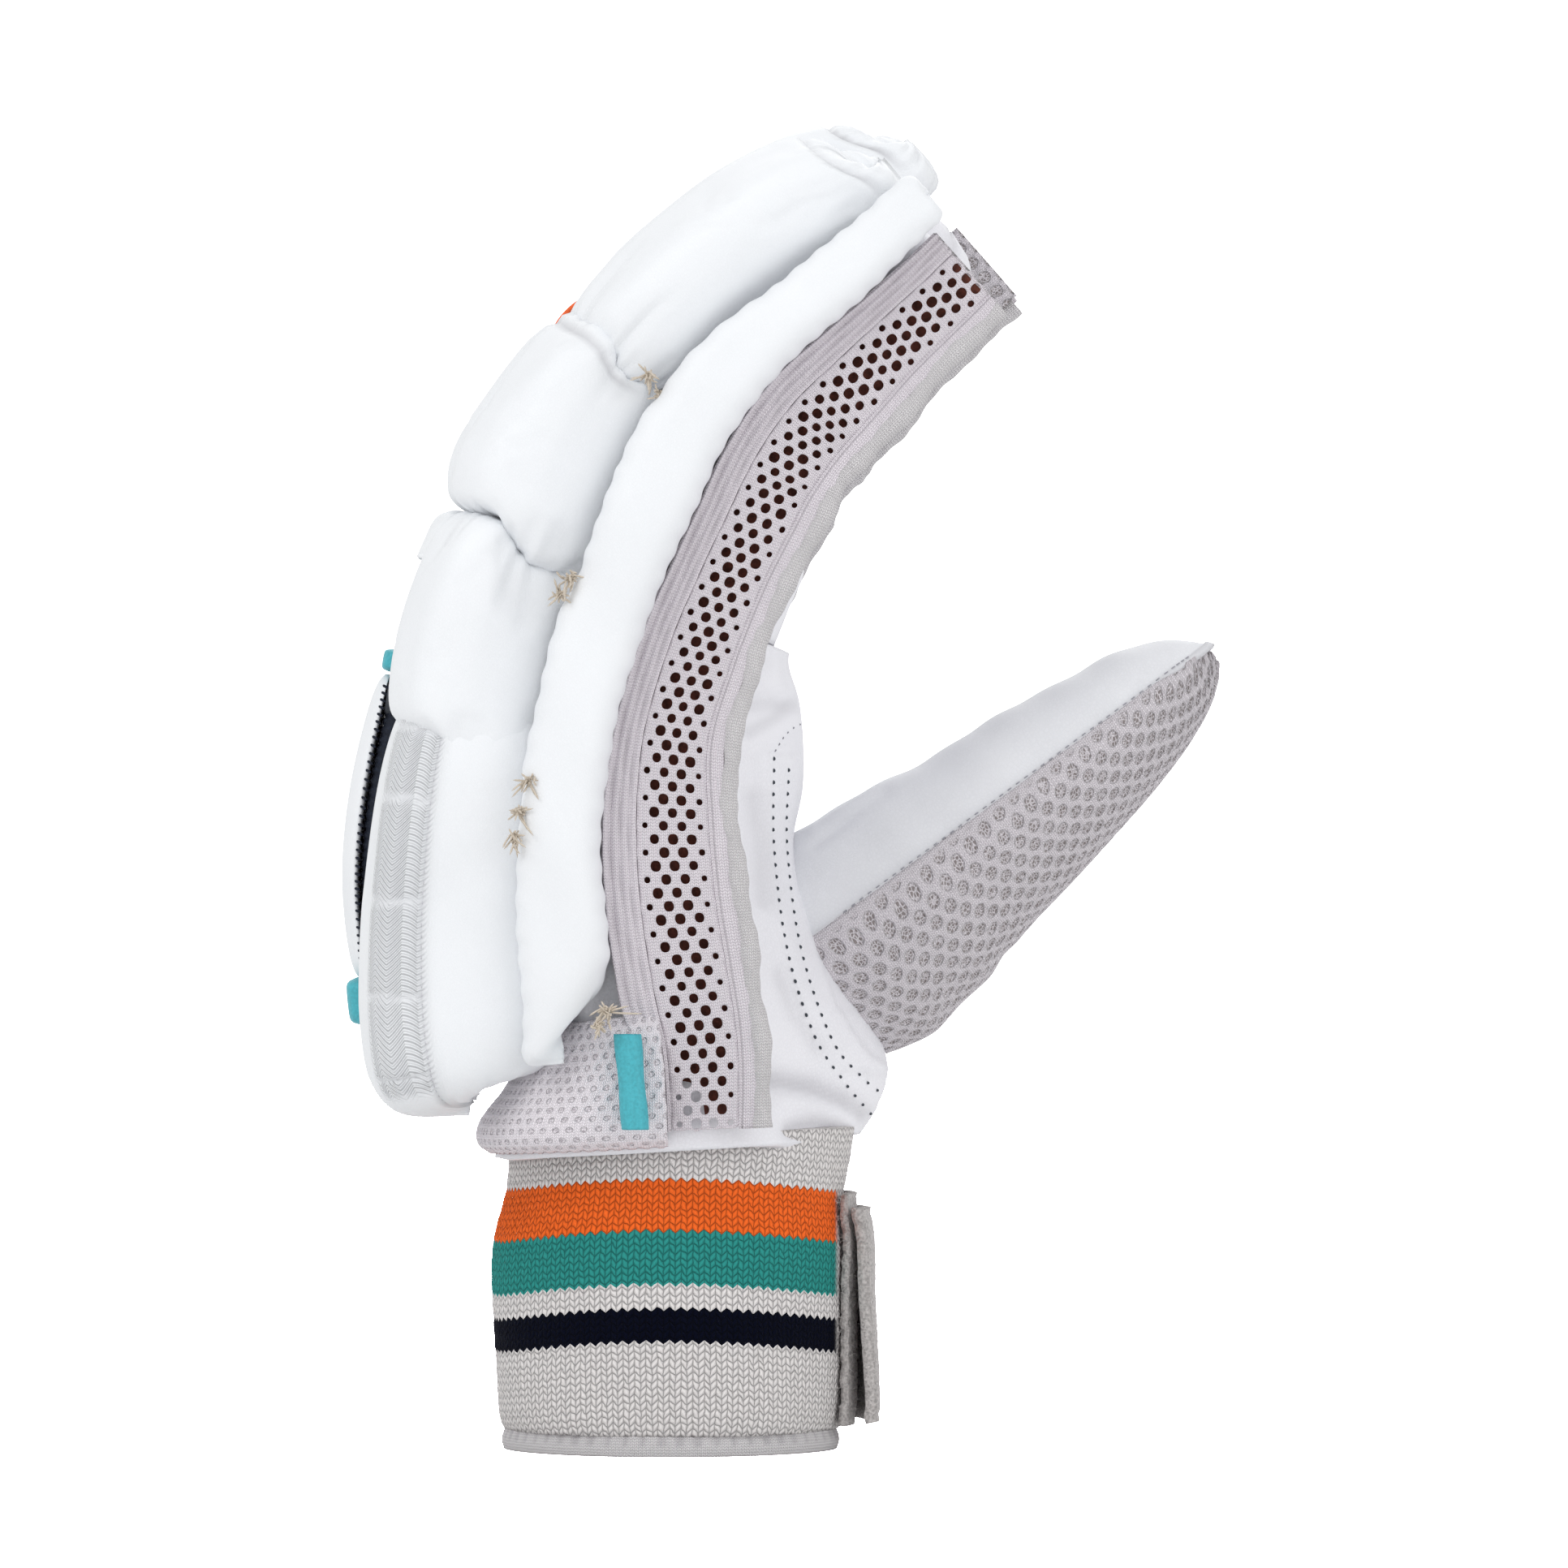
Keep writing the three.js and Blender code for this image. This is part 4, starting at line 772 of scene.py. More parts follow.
STITCH_ROWS = (
    ((953, 935), (953, 1045), (969, 1169), (1003, 1276), (1038, 1331), (1072, 1372)),
    ((971, 949), (969, 1045), (986, 1169), (1024, 1280), (1062, 1328), (1092, 1352)),
)
ARCH_STITCHES = ((955, 925), (968, 905), (985, 893), (1003, 890))


def half_breadth(share):
    return read(PALM_ROWS, "half", share) * HAND_BREADTH / 2


def palm_grid(share, u, v, grow=0.0):
    """The hand's skin: a superellipse whose palm side swells towards the thumb's mound."""
    share, u, v = np.broadcast_arrays(share, u, v)
    back = read(PALM_ROWS, "back", share) * HAND_DEPTH / 2 + grow
    near = read(PALM_ROWS, "near", share) * HAND_DEPTH / 2 + grow
    mound = read(PALM_ROWS, "thumb", share) * THUMB_MOUND + grow
    front = near + (mound - near) * smoothstep(u, -0.9, 0.35)
    return place(share, np.where(v < 0, v * back, v * front), u * (half_breadth(share) + grow))


def creases(x, y, seed, count, reach, tall, wide, slant=0.0):
    """Scattered small folds: bells across short lines, at seeded places over a box of reach."""
    chance = np.random.default_rng(seed)
    height = np.zeros(np.broadcast(x, y).shape)
    for _ in range(count):
        cx, cy = chance.uniform(0, reach[0]), chance.uniform(0, reach[1])
        turn = slant + chance.normal() * 0.35
        long, thin = chance.uniform(4, 12), wide * chance.uniform(0.6, 1.4)
        a = (x - cx) * math.cos(turn) + (y - cy) * math.sin(turn)
        b = (y - cy) * math.cos(turn) - (x - cx) * math.sin(turn) + 0.012 * a * a
        height += tall * chance.uniform(-1, 0.6) * np.exp(-((a / long) ** 2) - (b / thin) ** 2)
    return height


def make_palm():
    u, v = oval(150, PALM_POWER, stretch=0.6)
    share = np.linspace(0, PALM_END, 112)[:, None]
    points = palm_grid(share, u[None], v[None])
    along = share * LINE_LENGTH
    window = smoothstep(-u, 0.75, 0.95)[None] * smoothstep(0.75 - np.abs(v), 0, 0.3)[None]
    window = window * smoothstep(along, 12, 20) * smoothstep(-along, -118, -100)
    points[..., 1] += 4.0 * window
    uv = flat_map(points, True)[:, :-1]
    face = facing_eye(points)
    folds = relief(points, PALM_FOLDS, face)
    x, z = seen(points)
    edge = spots(*BAND_EDGE)
    reach = line_distance(x, z, edge)
    left = x < np.interp(-z, -edge[:, 1], edge[:, 0])
    inside = (z < edge[0, 1]) & (z > edge[-1, 1]) & left & (x > edge[:, 0].min() - 8)
    band = face * np.where(inside, smoothstep(7.5 - reach, 0, 1.2), 0) * smoothstep(reach, 0.0, 0.5) * 0.9
    flexed = creases(uv[..., 0], uv[..., 1], 5, 46, (uv[..., 0].max(), uv[..., 1].max()), 0.35, 1.0)
    points = raised(points, folds + band + flexed * (1 - 0.7 * face))
    # Painted shade in the palm's fold valleys, given to the leather as its fold mark.
    shade = np.clip(-folds / 1.6, 0, 1) * 0.7
    maps = np.concatenate([uv, uv[:, :1] + [[[uv[..., 0].max(), 0]]]], 1)
    piece = surface(
        "palm_leather", points, PALM_LEATHER, wall=LEATHER_WALL, replaces=("palm",),
        maps=maps,
        marks={"fold": shade},
    )
    rows = [on_piece(piece, smooth_line(spots(*line), 2.35)) for line in STITCH_ROWS]
    stitches("palm_stitches", rows, STITCH, 1.0, 0.24)
    # Painted shade: dark beads where the stitches enter the leather, for the shade in the needle holes.
    holes = [(points + out * 0.05, out) for points, out in rows]
    stitches("palm_needle_hole_shade", holes, NEEDLE_HOLE_SHADE, 0.55, 0.3)
    arch = on_piece(piece, smooth_line(spots(*ARCH_STITCHES), 1.3))
    stitches("arch_stitches", [arch], STITCH, 0.8, 0.2)


# The finger stalls

FINGER_PITCH = HAND_BREADTH / FINGER_COUNT
STALL_ROWS = table(
    "at depth breadth",
    (0, 1, 1), (0.4, 1, 1), (0.7, 0.95, 0.98), (0.88, 0.8, 0.9), (0.96, 0.58, 0.72), (0.99, 0.36, 0.5),
    (1, 0.06, 0.08),
)
FINGERS = (
    {"name": "little", "column": 0, "length": 1.0, "tip": 0.0, "back": 0.0, "turn": -22, "low": 0.0},
    {"name": "ring", "column": 1, "length": 1.02, "tip": 0.035, "back": 0.1, "turn": -7, "low": 0.13},
    {"name": "middle", "column": 2, "length": 1.02, "tip": 0.04, "back": 0.1, "turn": 7, "low": 0.13},
    {"name": "index", "column": 3, "length": 1.01, "tip": 0.02, "back": 0.04, "turn": 22, "low": 0.06},
)
STALL_START = PALM_END + CLEARANCE / LINE_LENGTH
STALL_POWER = 3.2
JOINTS = (0.3, 0.36, 0.62, 0.67)


def stall_side(finger, share):
    across = (finger["column"] - (FINGER_COUNT - 1) / 2) * FINGER_PITCH
    return across * half_breadth(share) * 2 / HAND_BREADTH


def make_stall(finger):
    """A finger's hollow: ovals along its share of the hand, creased at its joints, closing to a round tip."""
    along = np.concatenate([np.linspace(0, 0.86, 56), np.linspace(0.87, 1, 14)])[:, None]
    share = STALL_START + (finger["length"] - STALL_START) * along
    u, v = oval(48, STALL_POWER)
    depth = read(STALL_ROWS, "depth", along) * HAND_DEPTH / 2
    pitch = FINGER_PITCH * half_breadth(share) * 2 / HAND_BREADTH
    half = read(STALL_ROWS, "breadth", along) * pitch / 2 - CLEARANCE / 2
    shift = finger["back"] * HAND_DEPTH * smoothstep(along, 0, 0.3)
    side = stall_side(finger, share) + u * half
    if finger["column"] == 0:
        near_wall = smoothstep(-u, 0.6, 0.95) * smoothstep(0.8 - np.abs(v), 0, 0.3)
        side = side + 4.0 * near_wall * smoothstep(-along, -0.95, -0.8)
    points = place(share, v * depth - shift, side)
    palm_side = smoothstep(v, 0.2, 0.8)[None]
    fold = sum(bump(along, joint, 0.011) for joint in JOINTS) * palm_side
    swell = bump(along, 0.48, 0.1) + bump(along, 0.15, 0.1) + bump(along, 0.8, 0.09)
    seam = bump(np.abs(u)[None], 0.97, 0.03) * smoothstep(v, -0.2, 0.2)[None]
    bent = creases(u[None] * 11, along * 100, 31 + finger["column"], 16, (11, 90), 0.3, 0.8)
    points = raised(points, 0.9 * swell * palm_side - 1.1 * fold - 0.4 * seam + bent * palm_side)
    name = "stall_" + finger["name"]
    # The fold mark is painted shade in the joint creases and along the side seams.
    surface(
        "finger_" + finger["name"], points, PALM_LEATHER, wall=LEATHER_WALL * 0.8,
        replaces=(name,),
        marks={"fold": np.clip(fold + 0.4 * seam, 0, 1)},
    )


# Padded rolls

PAD_ROWS = table(
    "at reach under",
    (0.33, 0.97, 0.34), (0.45, 0.985, 0.34), (0.54, 0.955, 0.34), (0.6, 0.965, 0.34), (0.67, 0.915, 0.34),
    (0.72, 0.845, 0.33), (0.78, 0.785, 0.31), (0.88, 0.76, 0.28), (0.97, 0.7, 0.22), (1.05, 0.62, 0.12),
)
PAD_JOINTS = (0.345, 0.54, 0.722, 1.005)
PAD_NAMES = ("low", "mid", "tip")
# How much further the back of a pad starts and ends than its palm side, in millimetres.
PAD_SLANTS = ((10.0, 4.0), (6.0, 4.0), (3.0, -5.0))
NEAR_PAD_DROP = 3.4
ROLL_OUT = 0.32
LEAN_SPAN = 0.14


def roll_grid(section, start, end, power, end_power, stations=56, around=76, slants=(0.0, 0.0)):
    """A closed roll: at each share an oval, turned by the section's angle, whose size follows the end curve.

    Slants carry the back further along at the start and the end; a section's lean carries its palm side on.
    """
    half = (end - start) / 2
    middle_section = section(np.array([(start + end) / 2]))
    swing, size = end_curve(stations, end_power, half * LINE_LENGTH, float(middle_section["thick"][0]))
    share = (start + end) / 2 + swing * half
    found = {key: value[:, None] for key, value in section(share).items()}
    u, v = oval(around, power, stretch=float((middle_section["thick"] / middle_section["broad"])[0]))
    turn = np.radians(found["turn"])
    size = np.maximum(size, 0.02)[:, None]
    a = u[None] * found["broad"] * size
    b = v[None] * found["thick"] * size
    t = ((swing + 1) / 2)[:, None]
    carried = (slants[0] * (1 - t) ** 2 + slants[1] * t**2) * smoothstep(-v, -0.1, 1.0)[None]
    carried = carried + found.get("lean", 0.0) * (v[None] + 1) / 2
    across = found["across"] + a * np.sin(turn) + b * np.cos(turn)
    side = found["side"] + a * np.cos(turn) - b * np.sin(turn)
    return share[:, None] + carried / LINE_LENGTH, across, side, u[None] + 0 * size, v[None] + 0 * size, t


def pad_section(finger):
    outer = abs(finger["turn"]) / 22

    def section(share):
        reach = read(PAD_ROWS, "reach", share) * PAD_REACH - NEAR_PAD_DROP * outer
        under = np.maximum(read(PAD_ROWS, "under", share) * PAD_REACH, 0) + 100 * finger["back"] * 0.3
        shrink = 1 - 0.22 * smoothstep(share, 0.85, 1.05)
        return {
            "across": -(reach + under) / 2,
            "side": stall_side(finger, share) * 1.03,
            "thick": (reach - under) / 2,
            "broad": (FINGER_PITCH / 2 - CLEARANCE / 2) * 1.04 * shrink,
            "turn": np.full_like(share, finger["turn"]),
        }

    return section


def puckers(u, v, t, seed, tall=0.35):
    """Small gathers that run in from both ends of a roll: waves round it that fade away from its ends."""
    chance = np.random.default_rng(seed)
    angle = np.arctan2(v, u)
    near_end = np.exp(-t / 0.07) + np.exp(-(1 - t) / 0.07)
    waves = sum(
        np.sin(angle * n + chance.uniform(0, 6.28)) * chance.uniform(0.3, 1.0) for n in (9, 14, 19, 25)
    )
    slow = sum(
        np.sin(angle * n + t * chance.uniform(-6, 6) + chance.uniform(0, 6.28)) for n in (2, 3, 5)
    )
    return tall * waves * near_end * 0.5 + 0.22 * slow


def puff(piece, cap=1.1, frames=12):
    """Cloth filled with air for a few frames; no point moves further than the cap."""
    start = np.empty(len(piece.data.vertices) * 3, np.float32)
    piece.data.vertices.foreach_get("co", start)
    cloth = piece.modifiers.new("air", "CLOTH")
    settings = cloth.settings
    settings.use_pressure = True
    settings.uniform_pressure_force = 4.0
    settings.effector_weights.gravity = 0.0
    settings.quality = 4
    settings.tension_stiffness = 12.0
    settings.compression_stiffness = 6.0
    settings.bending_stiffness = 0.25
    settings.shrink_min = -0.03
    cloth.point_cache.frame_start = 1
    cloth.point_cache.frame_end = frames
    scene = bpy.context.scene
    for frame_number in range(1, frames + 1):
        scene.frame_set(frame_number)
    moved = np.empty_like(start)
    seen_piece = piece.evaluated_get(bpy.context.evaluated_depsgraph_get())
    seen_piece.data.vertices.foreach_get("co", moved)
    piece.modifiers.remove(cloth)
    scene.frame_set(1)
    start, moved = start.reshape(-1, 3), moved.reshape(-1, 3)
    step = moved - start
    length = np.linalg.norm(step, axis=1, keepdims=True)
    step = np.where(np.isfinite(step), step, 0) * np.minimum(1, cap * MM / np.maximum(length, 1e-9))
    piece.data.vertices.foreach_set("co", (start + step).astype(np.float32).ravel())
    piece.data.update()


def make_finger_pads(finger):
    for part, part_name in enumerate(PAD_NAMES):
        start = PAD_JOINTS[part] + (finger["low"] if part == 0 else 0.0)
        end = PAD_JOINTS[part + 1] + (finger["tip"] if part == 2 else 0.0)
        share, across, side, u, v, t = roll_grid(
            pad_section(finger), start, end, 3.6, 6.5, slants=PAD_SLANTS[part],
        )
        points = place(share, across, side)
        second = (0.0, 0.94, 0.93)[part]
        crease = bump(t, second, 0.012) * smoothstep(-v, -0.6, 0.2) if second else 0 * u
        height = puckers(u, v, t, 40 + finger["column"] * 3 + part, 0.5) - 0.9 * crease
        points = raised(points, height)
        name = "pad_{}_{}".format(finger["name"], part_name)
        # The fold mark is painted shade in the pad's crease.
        piece = surface(
            "roll_{}_{}".format(finger["name"], part_name), points, PAD_LEATHER, caps=True,
            replaces=(name,), marks={"fold": np.clip(0.6 * crease, 0, 1)},
        )
        puff(piece)


ROLL_ROWS = table(
    "at middle width thick",
    (0.08, -1.08, 1.1, 0.9), (0.16, -0.93, 1.05, 1), (0.3, -0.93, 0.98, 1), (0.45, -0.84, 0.95, 1),
    (0.6, -0.75, 0.98, 1),
    (0.7, -0.69, 1.02, 1), (0.78, -0.6, 0.86, 0.96), (0.9, -0.54, 0.74, 0.86), (1.03, -0.58, 0.7, 0.7),
)
ROLL_FROM, ROLL_TO, ROLL_LEAN = 0.1, 1.02, 12.0


def side_roll_section(share):
    return {
        "across": read(ROLL_ROWS, "middle", share) * HAND_DEPTH / 2,
        "side": -(half_breadth(share) + ROLL_THICKNESS * ROLL_OUT),
        "thick": read(ROLL_ROWS, "width", share) * ROLL_WIDTH / 2,
        "broad": read(ROLL_ROWS, "thick", share) * ROLL_THICKNESS / 2,
        "turn": np.zeros_like(share),
        "lean": ROLL_LEAN * (1 - smoothstep(share, ROLL_FROM, ROLL_FROM + LEAN_SPAN)),
    }


def make_side_roll():
    """The long roll beside the pads, softly uneven, with small gathers where the rows of pads meet it."""
    share, across, side, u, v, t = roll_grid(
        side_roll_section, ROLL_FROM, ROLL_TO, 2.7, 12, stations=240, around=56,
    )
    points = place(share, across, side)
    joints = sum(bump(share, joint, 0.018) for joint in PAD_JOINTS[:3])
    slow = 0.25 * np.sin(share * LINE_LENGTH / 9 + 2 * v) + 0.2 * np.sin(share * LINE_LENGTH / 4.3 + 3 * v)
    scallop = 0.18 * np.sin(share * LINE_LENGTH / 0.9) * smoothstep(np.abs(v), 0.75, 0.95)
    gathers = puckers(u, v, np.minimum(t * 9, 0.5), 77, 0.2) * 0.5
    height = slow + scallop - 0.7 * joints * smoothstep(-v, 0.2, 0.9) + gathers
    piece = surface(
        "side_roll_leather", raised(points, height), PAD_LEATHER, caps=True,
        replaces=("side_roll",),
    )


BLOCKS = (
    {
        "name": "back_pad_near", "side": -0.68, "from": 0.047, "to": 0.44, "reach": 1.0, "breadth": 1.0,
        "turn": -6, "lean": 8.0,
    },
    {
        "name": "back_pad_middle", "side": 0.0, "from": 0.15, "to": 0.47, "reach": 0.9, "breadth": 1.02,
        "turn": 0, "lean": 0.0,
    },
    {
        "name": "back_pad_far", "side": 0.68, "from": 0.055, "to": 0.44, "reach": 1.0, "breadth": 1.0,
        "turn": 6, "lean": 8.0,
    },
)
BLOCK_SLOPE = 6.0
SEPARATORS = (0.12, 0.34, 0.55, 0.76, 0.9)


def block_section(block):
    def section(share):
        reach = block["reach"] * BLOCK_REACH - BLOCK_SLOPE * smoothstep(share, 0.12, 0.42)
        under = HAND_DEPTH * 0.5 + CLEARANCE
        return {
            "across": -(reach + under) / 2,
            "side": block["side"] * half_breadth(share),
            "thick": (reach - under) / 2,
            "broad": np.full_like(share, BLOCK_BREADTH / 2 * block["breadth"]),
            "turn": np.full_like(share, block["turn"]),
            "lean": block["lean"] * (1 - smoothstep(share, block["from"], block["from"] + LEAN_SPAN)),
        }

    return section


def make_block(block):
    """A block whose outer edge carries an embossed strip in sewn sections, beside a sewn ridge."""
    share, across, side, u, v, t = roll_grid(
        block_section(block), block["from"], block["to"], 4.0, 5.5, stations=96, around=100,
        slants=(0.0, -3.0 if block["lean"] else 0.0),
    )
    points = place(share, across, side)
    outer = math.copysign(1.0, block["side"]) if block["side"] else 0.0
    edge = v + 0.42
    strip = smoothstep(-edge, 0.0, 0.08) * smoothstep(u * outer, 0.3, 0.5) * smoothstep(
        0.99 + v, -0.2, 0.02,
    )
    strip = strip * smoothstep(t, 0.03, 0.08) * smoothstep(1 - t, 0.03, 0.08)
    ridge = bump(edge, 0.03, 0.035) * smoothstep(u * outer, 0.3, 0.5)
    groove = bump(edge, -0.03, 0.025) * smoothstep(u * outer, 0.3, 0.5)
    parts = sum(bump(t + 0.03 * (v + 0.7), place_at, 0.008) for place_at in SEPARATORS) * strip
    height = 0.7 * ridge - 0.8 * groove - 0.8 * parts + puckers(u, v, t, 60 + int(outer), 0.3)
    points = raised(points, height)
    # The fold mark is painted shade in the groove and between the strip's sections.
    piece = surface(
        block["name"] + "_leather", points, PAD_LEATHER, caps=True,
        replaces=(block["name"],),
        marks={
            "emboss": strip * (1 - parts) * (outer != 0),
            "fold": np.clip(0.25 * groove + 0.25 * parts, 0, 1),
        },
    )
    if outer:
        column = int(np.argmin(np.where(u[48] * outer > 0.5, np.abs(edge[48] + 0.03), 9)))
        line = points[6:-8, column]
        steps = np.linspace(0, len(line) - 1, 52)
        spaced = np.stack([np.interp(steps, np.arange(len(line)), line[:, i]) for i in range(3)], -1)
        out = np.broadcast_to(unit(np.array([-0.3, outer, 0.0])), spaced.shape)
        stitches(block["name"] + "_seam", [(spaced, out)], SEAM_THREAD, 0.95, 0.16)


# The raised panel on the back

PANEL_FROM, PANEL_TO = 0.197, 0.433
PANEL_SLOPE = 3.0
PANEL_SKIN = 4.0
BORDER_DEPTH = 6.0


def panel_grid(outer, inner, breadth, start, end, dome, round_over=0.0, rows=90, columns=64):
    """A bent plate: a rounded section carried along, crowned lengthways and rounded across."""
    share = np.linspace(start, end, rows)[:, None]
    t = (share - start) / (end - start)
    close = (1 - np.abs(2 * t - 1) ** 9) ** (1 / 3)
    half = breadth / 2 * (1 - 0.16 * (2 * t - 1) ** 4) * np.maximum(close, 0.3)
    drop = PANEL_SLOPE * smoothstep(share, 0.26, 0.43)
    u, v = oval(columns, 5.0, stretch=(outer - inner) / breadth)
    crown = dome * (1 - (2 * t - 1) ** 2) - dome - round_over * (np.abs(u[None]) ** 3)
    face = (v[None] + 1) / 2
    across = -(inner + (outer - inner + crown) * face * np.maximum(close, 0.4)) + drop
    return place(share, across, half * u[None])


def make_panel():
    border_outer = PANEL_REACH - PANEL_SKIN - CLEARANCE
    points = panel_grid(
        border_outer, border_outer - BORDER_DEPTH, PANEL_BREADTH, PANEL_FROM, PANEL_TO, 0.4, rows=110,
        columns=70,
    )
    ribs = 0.22 * np.sin(np.linspace(PANEL_FROM, PANEL_TO, 110) * LINE_LENGTH * 2 * math.pi / 1.5)[:, None]
    surface(
        "panel_edge", raised(points, ribs * np.ones((1, 70))), NAVY, caps=True,
        replaces=("panel_border",),
    )
    span = PANEL_TO - PANEL_FROM
    for name, low, high in (("low", 0.0, 0.13), ("top", 0.84, 1.0)):
        share_low, share_high = PANEL_FROM + span * low, PANEL_FROM + span * high
        points = panel_grid(
            border_outer + 0.2, border_outer - BORDER_DEPTH, PANEL_BREADTH + 0.5, share_low, share_high, 0.1,
            rows=30,
        )
        surface("panel_edge_" + name, points, GREY_EDGE, caps=True)
    points = panel_grid(
        PANEL_REACH, PANEL_REACH - PANEL_SKIN, PANEL_BREADTH - 1, PANEL_FROM, PANEL_TO, 1.2, 2.6,
    )
    piece = surface("panel_face", points, PAD_LEATHER, caps=True, replaces=("back_panel",))
    gap = CLEARANCE / LINE_LENGTH
    tips = (("low", PANEL_FROM - 0.04, PANEL_FROM + 0.004), ("top", PANEL_TO + gap, PANEL_TO + 0.022))
    for name, low, high in tips:
        outer = PANEL_REACH + (0.2 if name == "low" else -2)
        inner = PANEL_REACH - PANEL_SKIN - BORDER_DEPTH
        surface(
            "panel_tip_" + name,
            panel_grid(outer, inner, PANEL_BREADTH * 0.8, low, high, 0.2, rows=24),
            TEAL, caps=True, replaces=("panel_trim_" + name,),
        )
    teeth = []
    share = np.linspace(PANEL_FROM + 0.012, PANEL_TO - 0.012, 36)
    for side in (-1, 1):
        drop = PANEL_SLOPE * smoothstep(share, 0.26, 0.43)
        start = place(share, -(PANEL_REACH - PANEL_SKIN - 0.5) + drop, side * (PANEL_BREADTH / 2 + 0.05))
        end = place(
            share + 0.002, -(PANEL_REACH - PANEL_SKIN + 0.75) + drop, side * (PANEL_BREADTH / 2 - 0.5),
        )
        t = np.linspace(0, 1, 6)[:, None, None]
        bow = np.array([0, side * 0.5, 0]) * np.sin(t * math.pi)
        teeth += list(np.swapaxes(start[None] * (1 - t) + end[None] * t + bow, 0, 1))
    tubes("panel_teeth", teeth, 0.3, NAVY)


# The eyelet strips down both sides

STRIP_ROWS = table(
    "at start end",
    (0.02, -0.28, 0.9), (0.1, -0.3, 0.96), (0.16, -0.38, 0.96), (0.25, -0.44, 0.89), (0.34, -0.46, 0.81),
    (0.42, -0.44, 0.7),
    (0.5, -0.36, 0.78), (0.6, -0.27, 0.83), (0.7, -0.21, 0.94), (0.8, -0.18, 0.985), (0.9, -0.17, 0.85),
    (1.0, -0.2, 0.77),
)
STRIP_FLARE = 2.4
STRIP_FROM, STRIP_TO = 0.02, 1.0
EYELET_HALVES = 8
EYELET_PITCH = 5.5
EYELET_ACROSS = 1.75
EYELET_ALONG = 2.05
EYELET_CORNERS = 8
BAND_SHARE = 0.27
BORDER_SHARE = 0.12


def strip_across(share, width):
    start = read(STRIP_ROWS, "start", share) * HAND_DEPTH / 2
    end = read(STRIP_ROWS, "end", share) * HAND_DEPTH / 2
    return start + (end - start) * width


def strip_side(share, width, out):
    return half_breadth(share) + CLEARANCE + STRIP_FLARE * np.maximum(width, 0) ** 3 + out


def strip_place(share, width, out, mirror):
    """A point of a strip; mirror is -1 at the little finger's side and 1 at the index finger's."""
    return place(share, strip_across(share, width), mirror * strip_side(share, width, out))


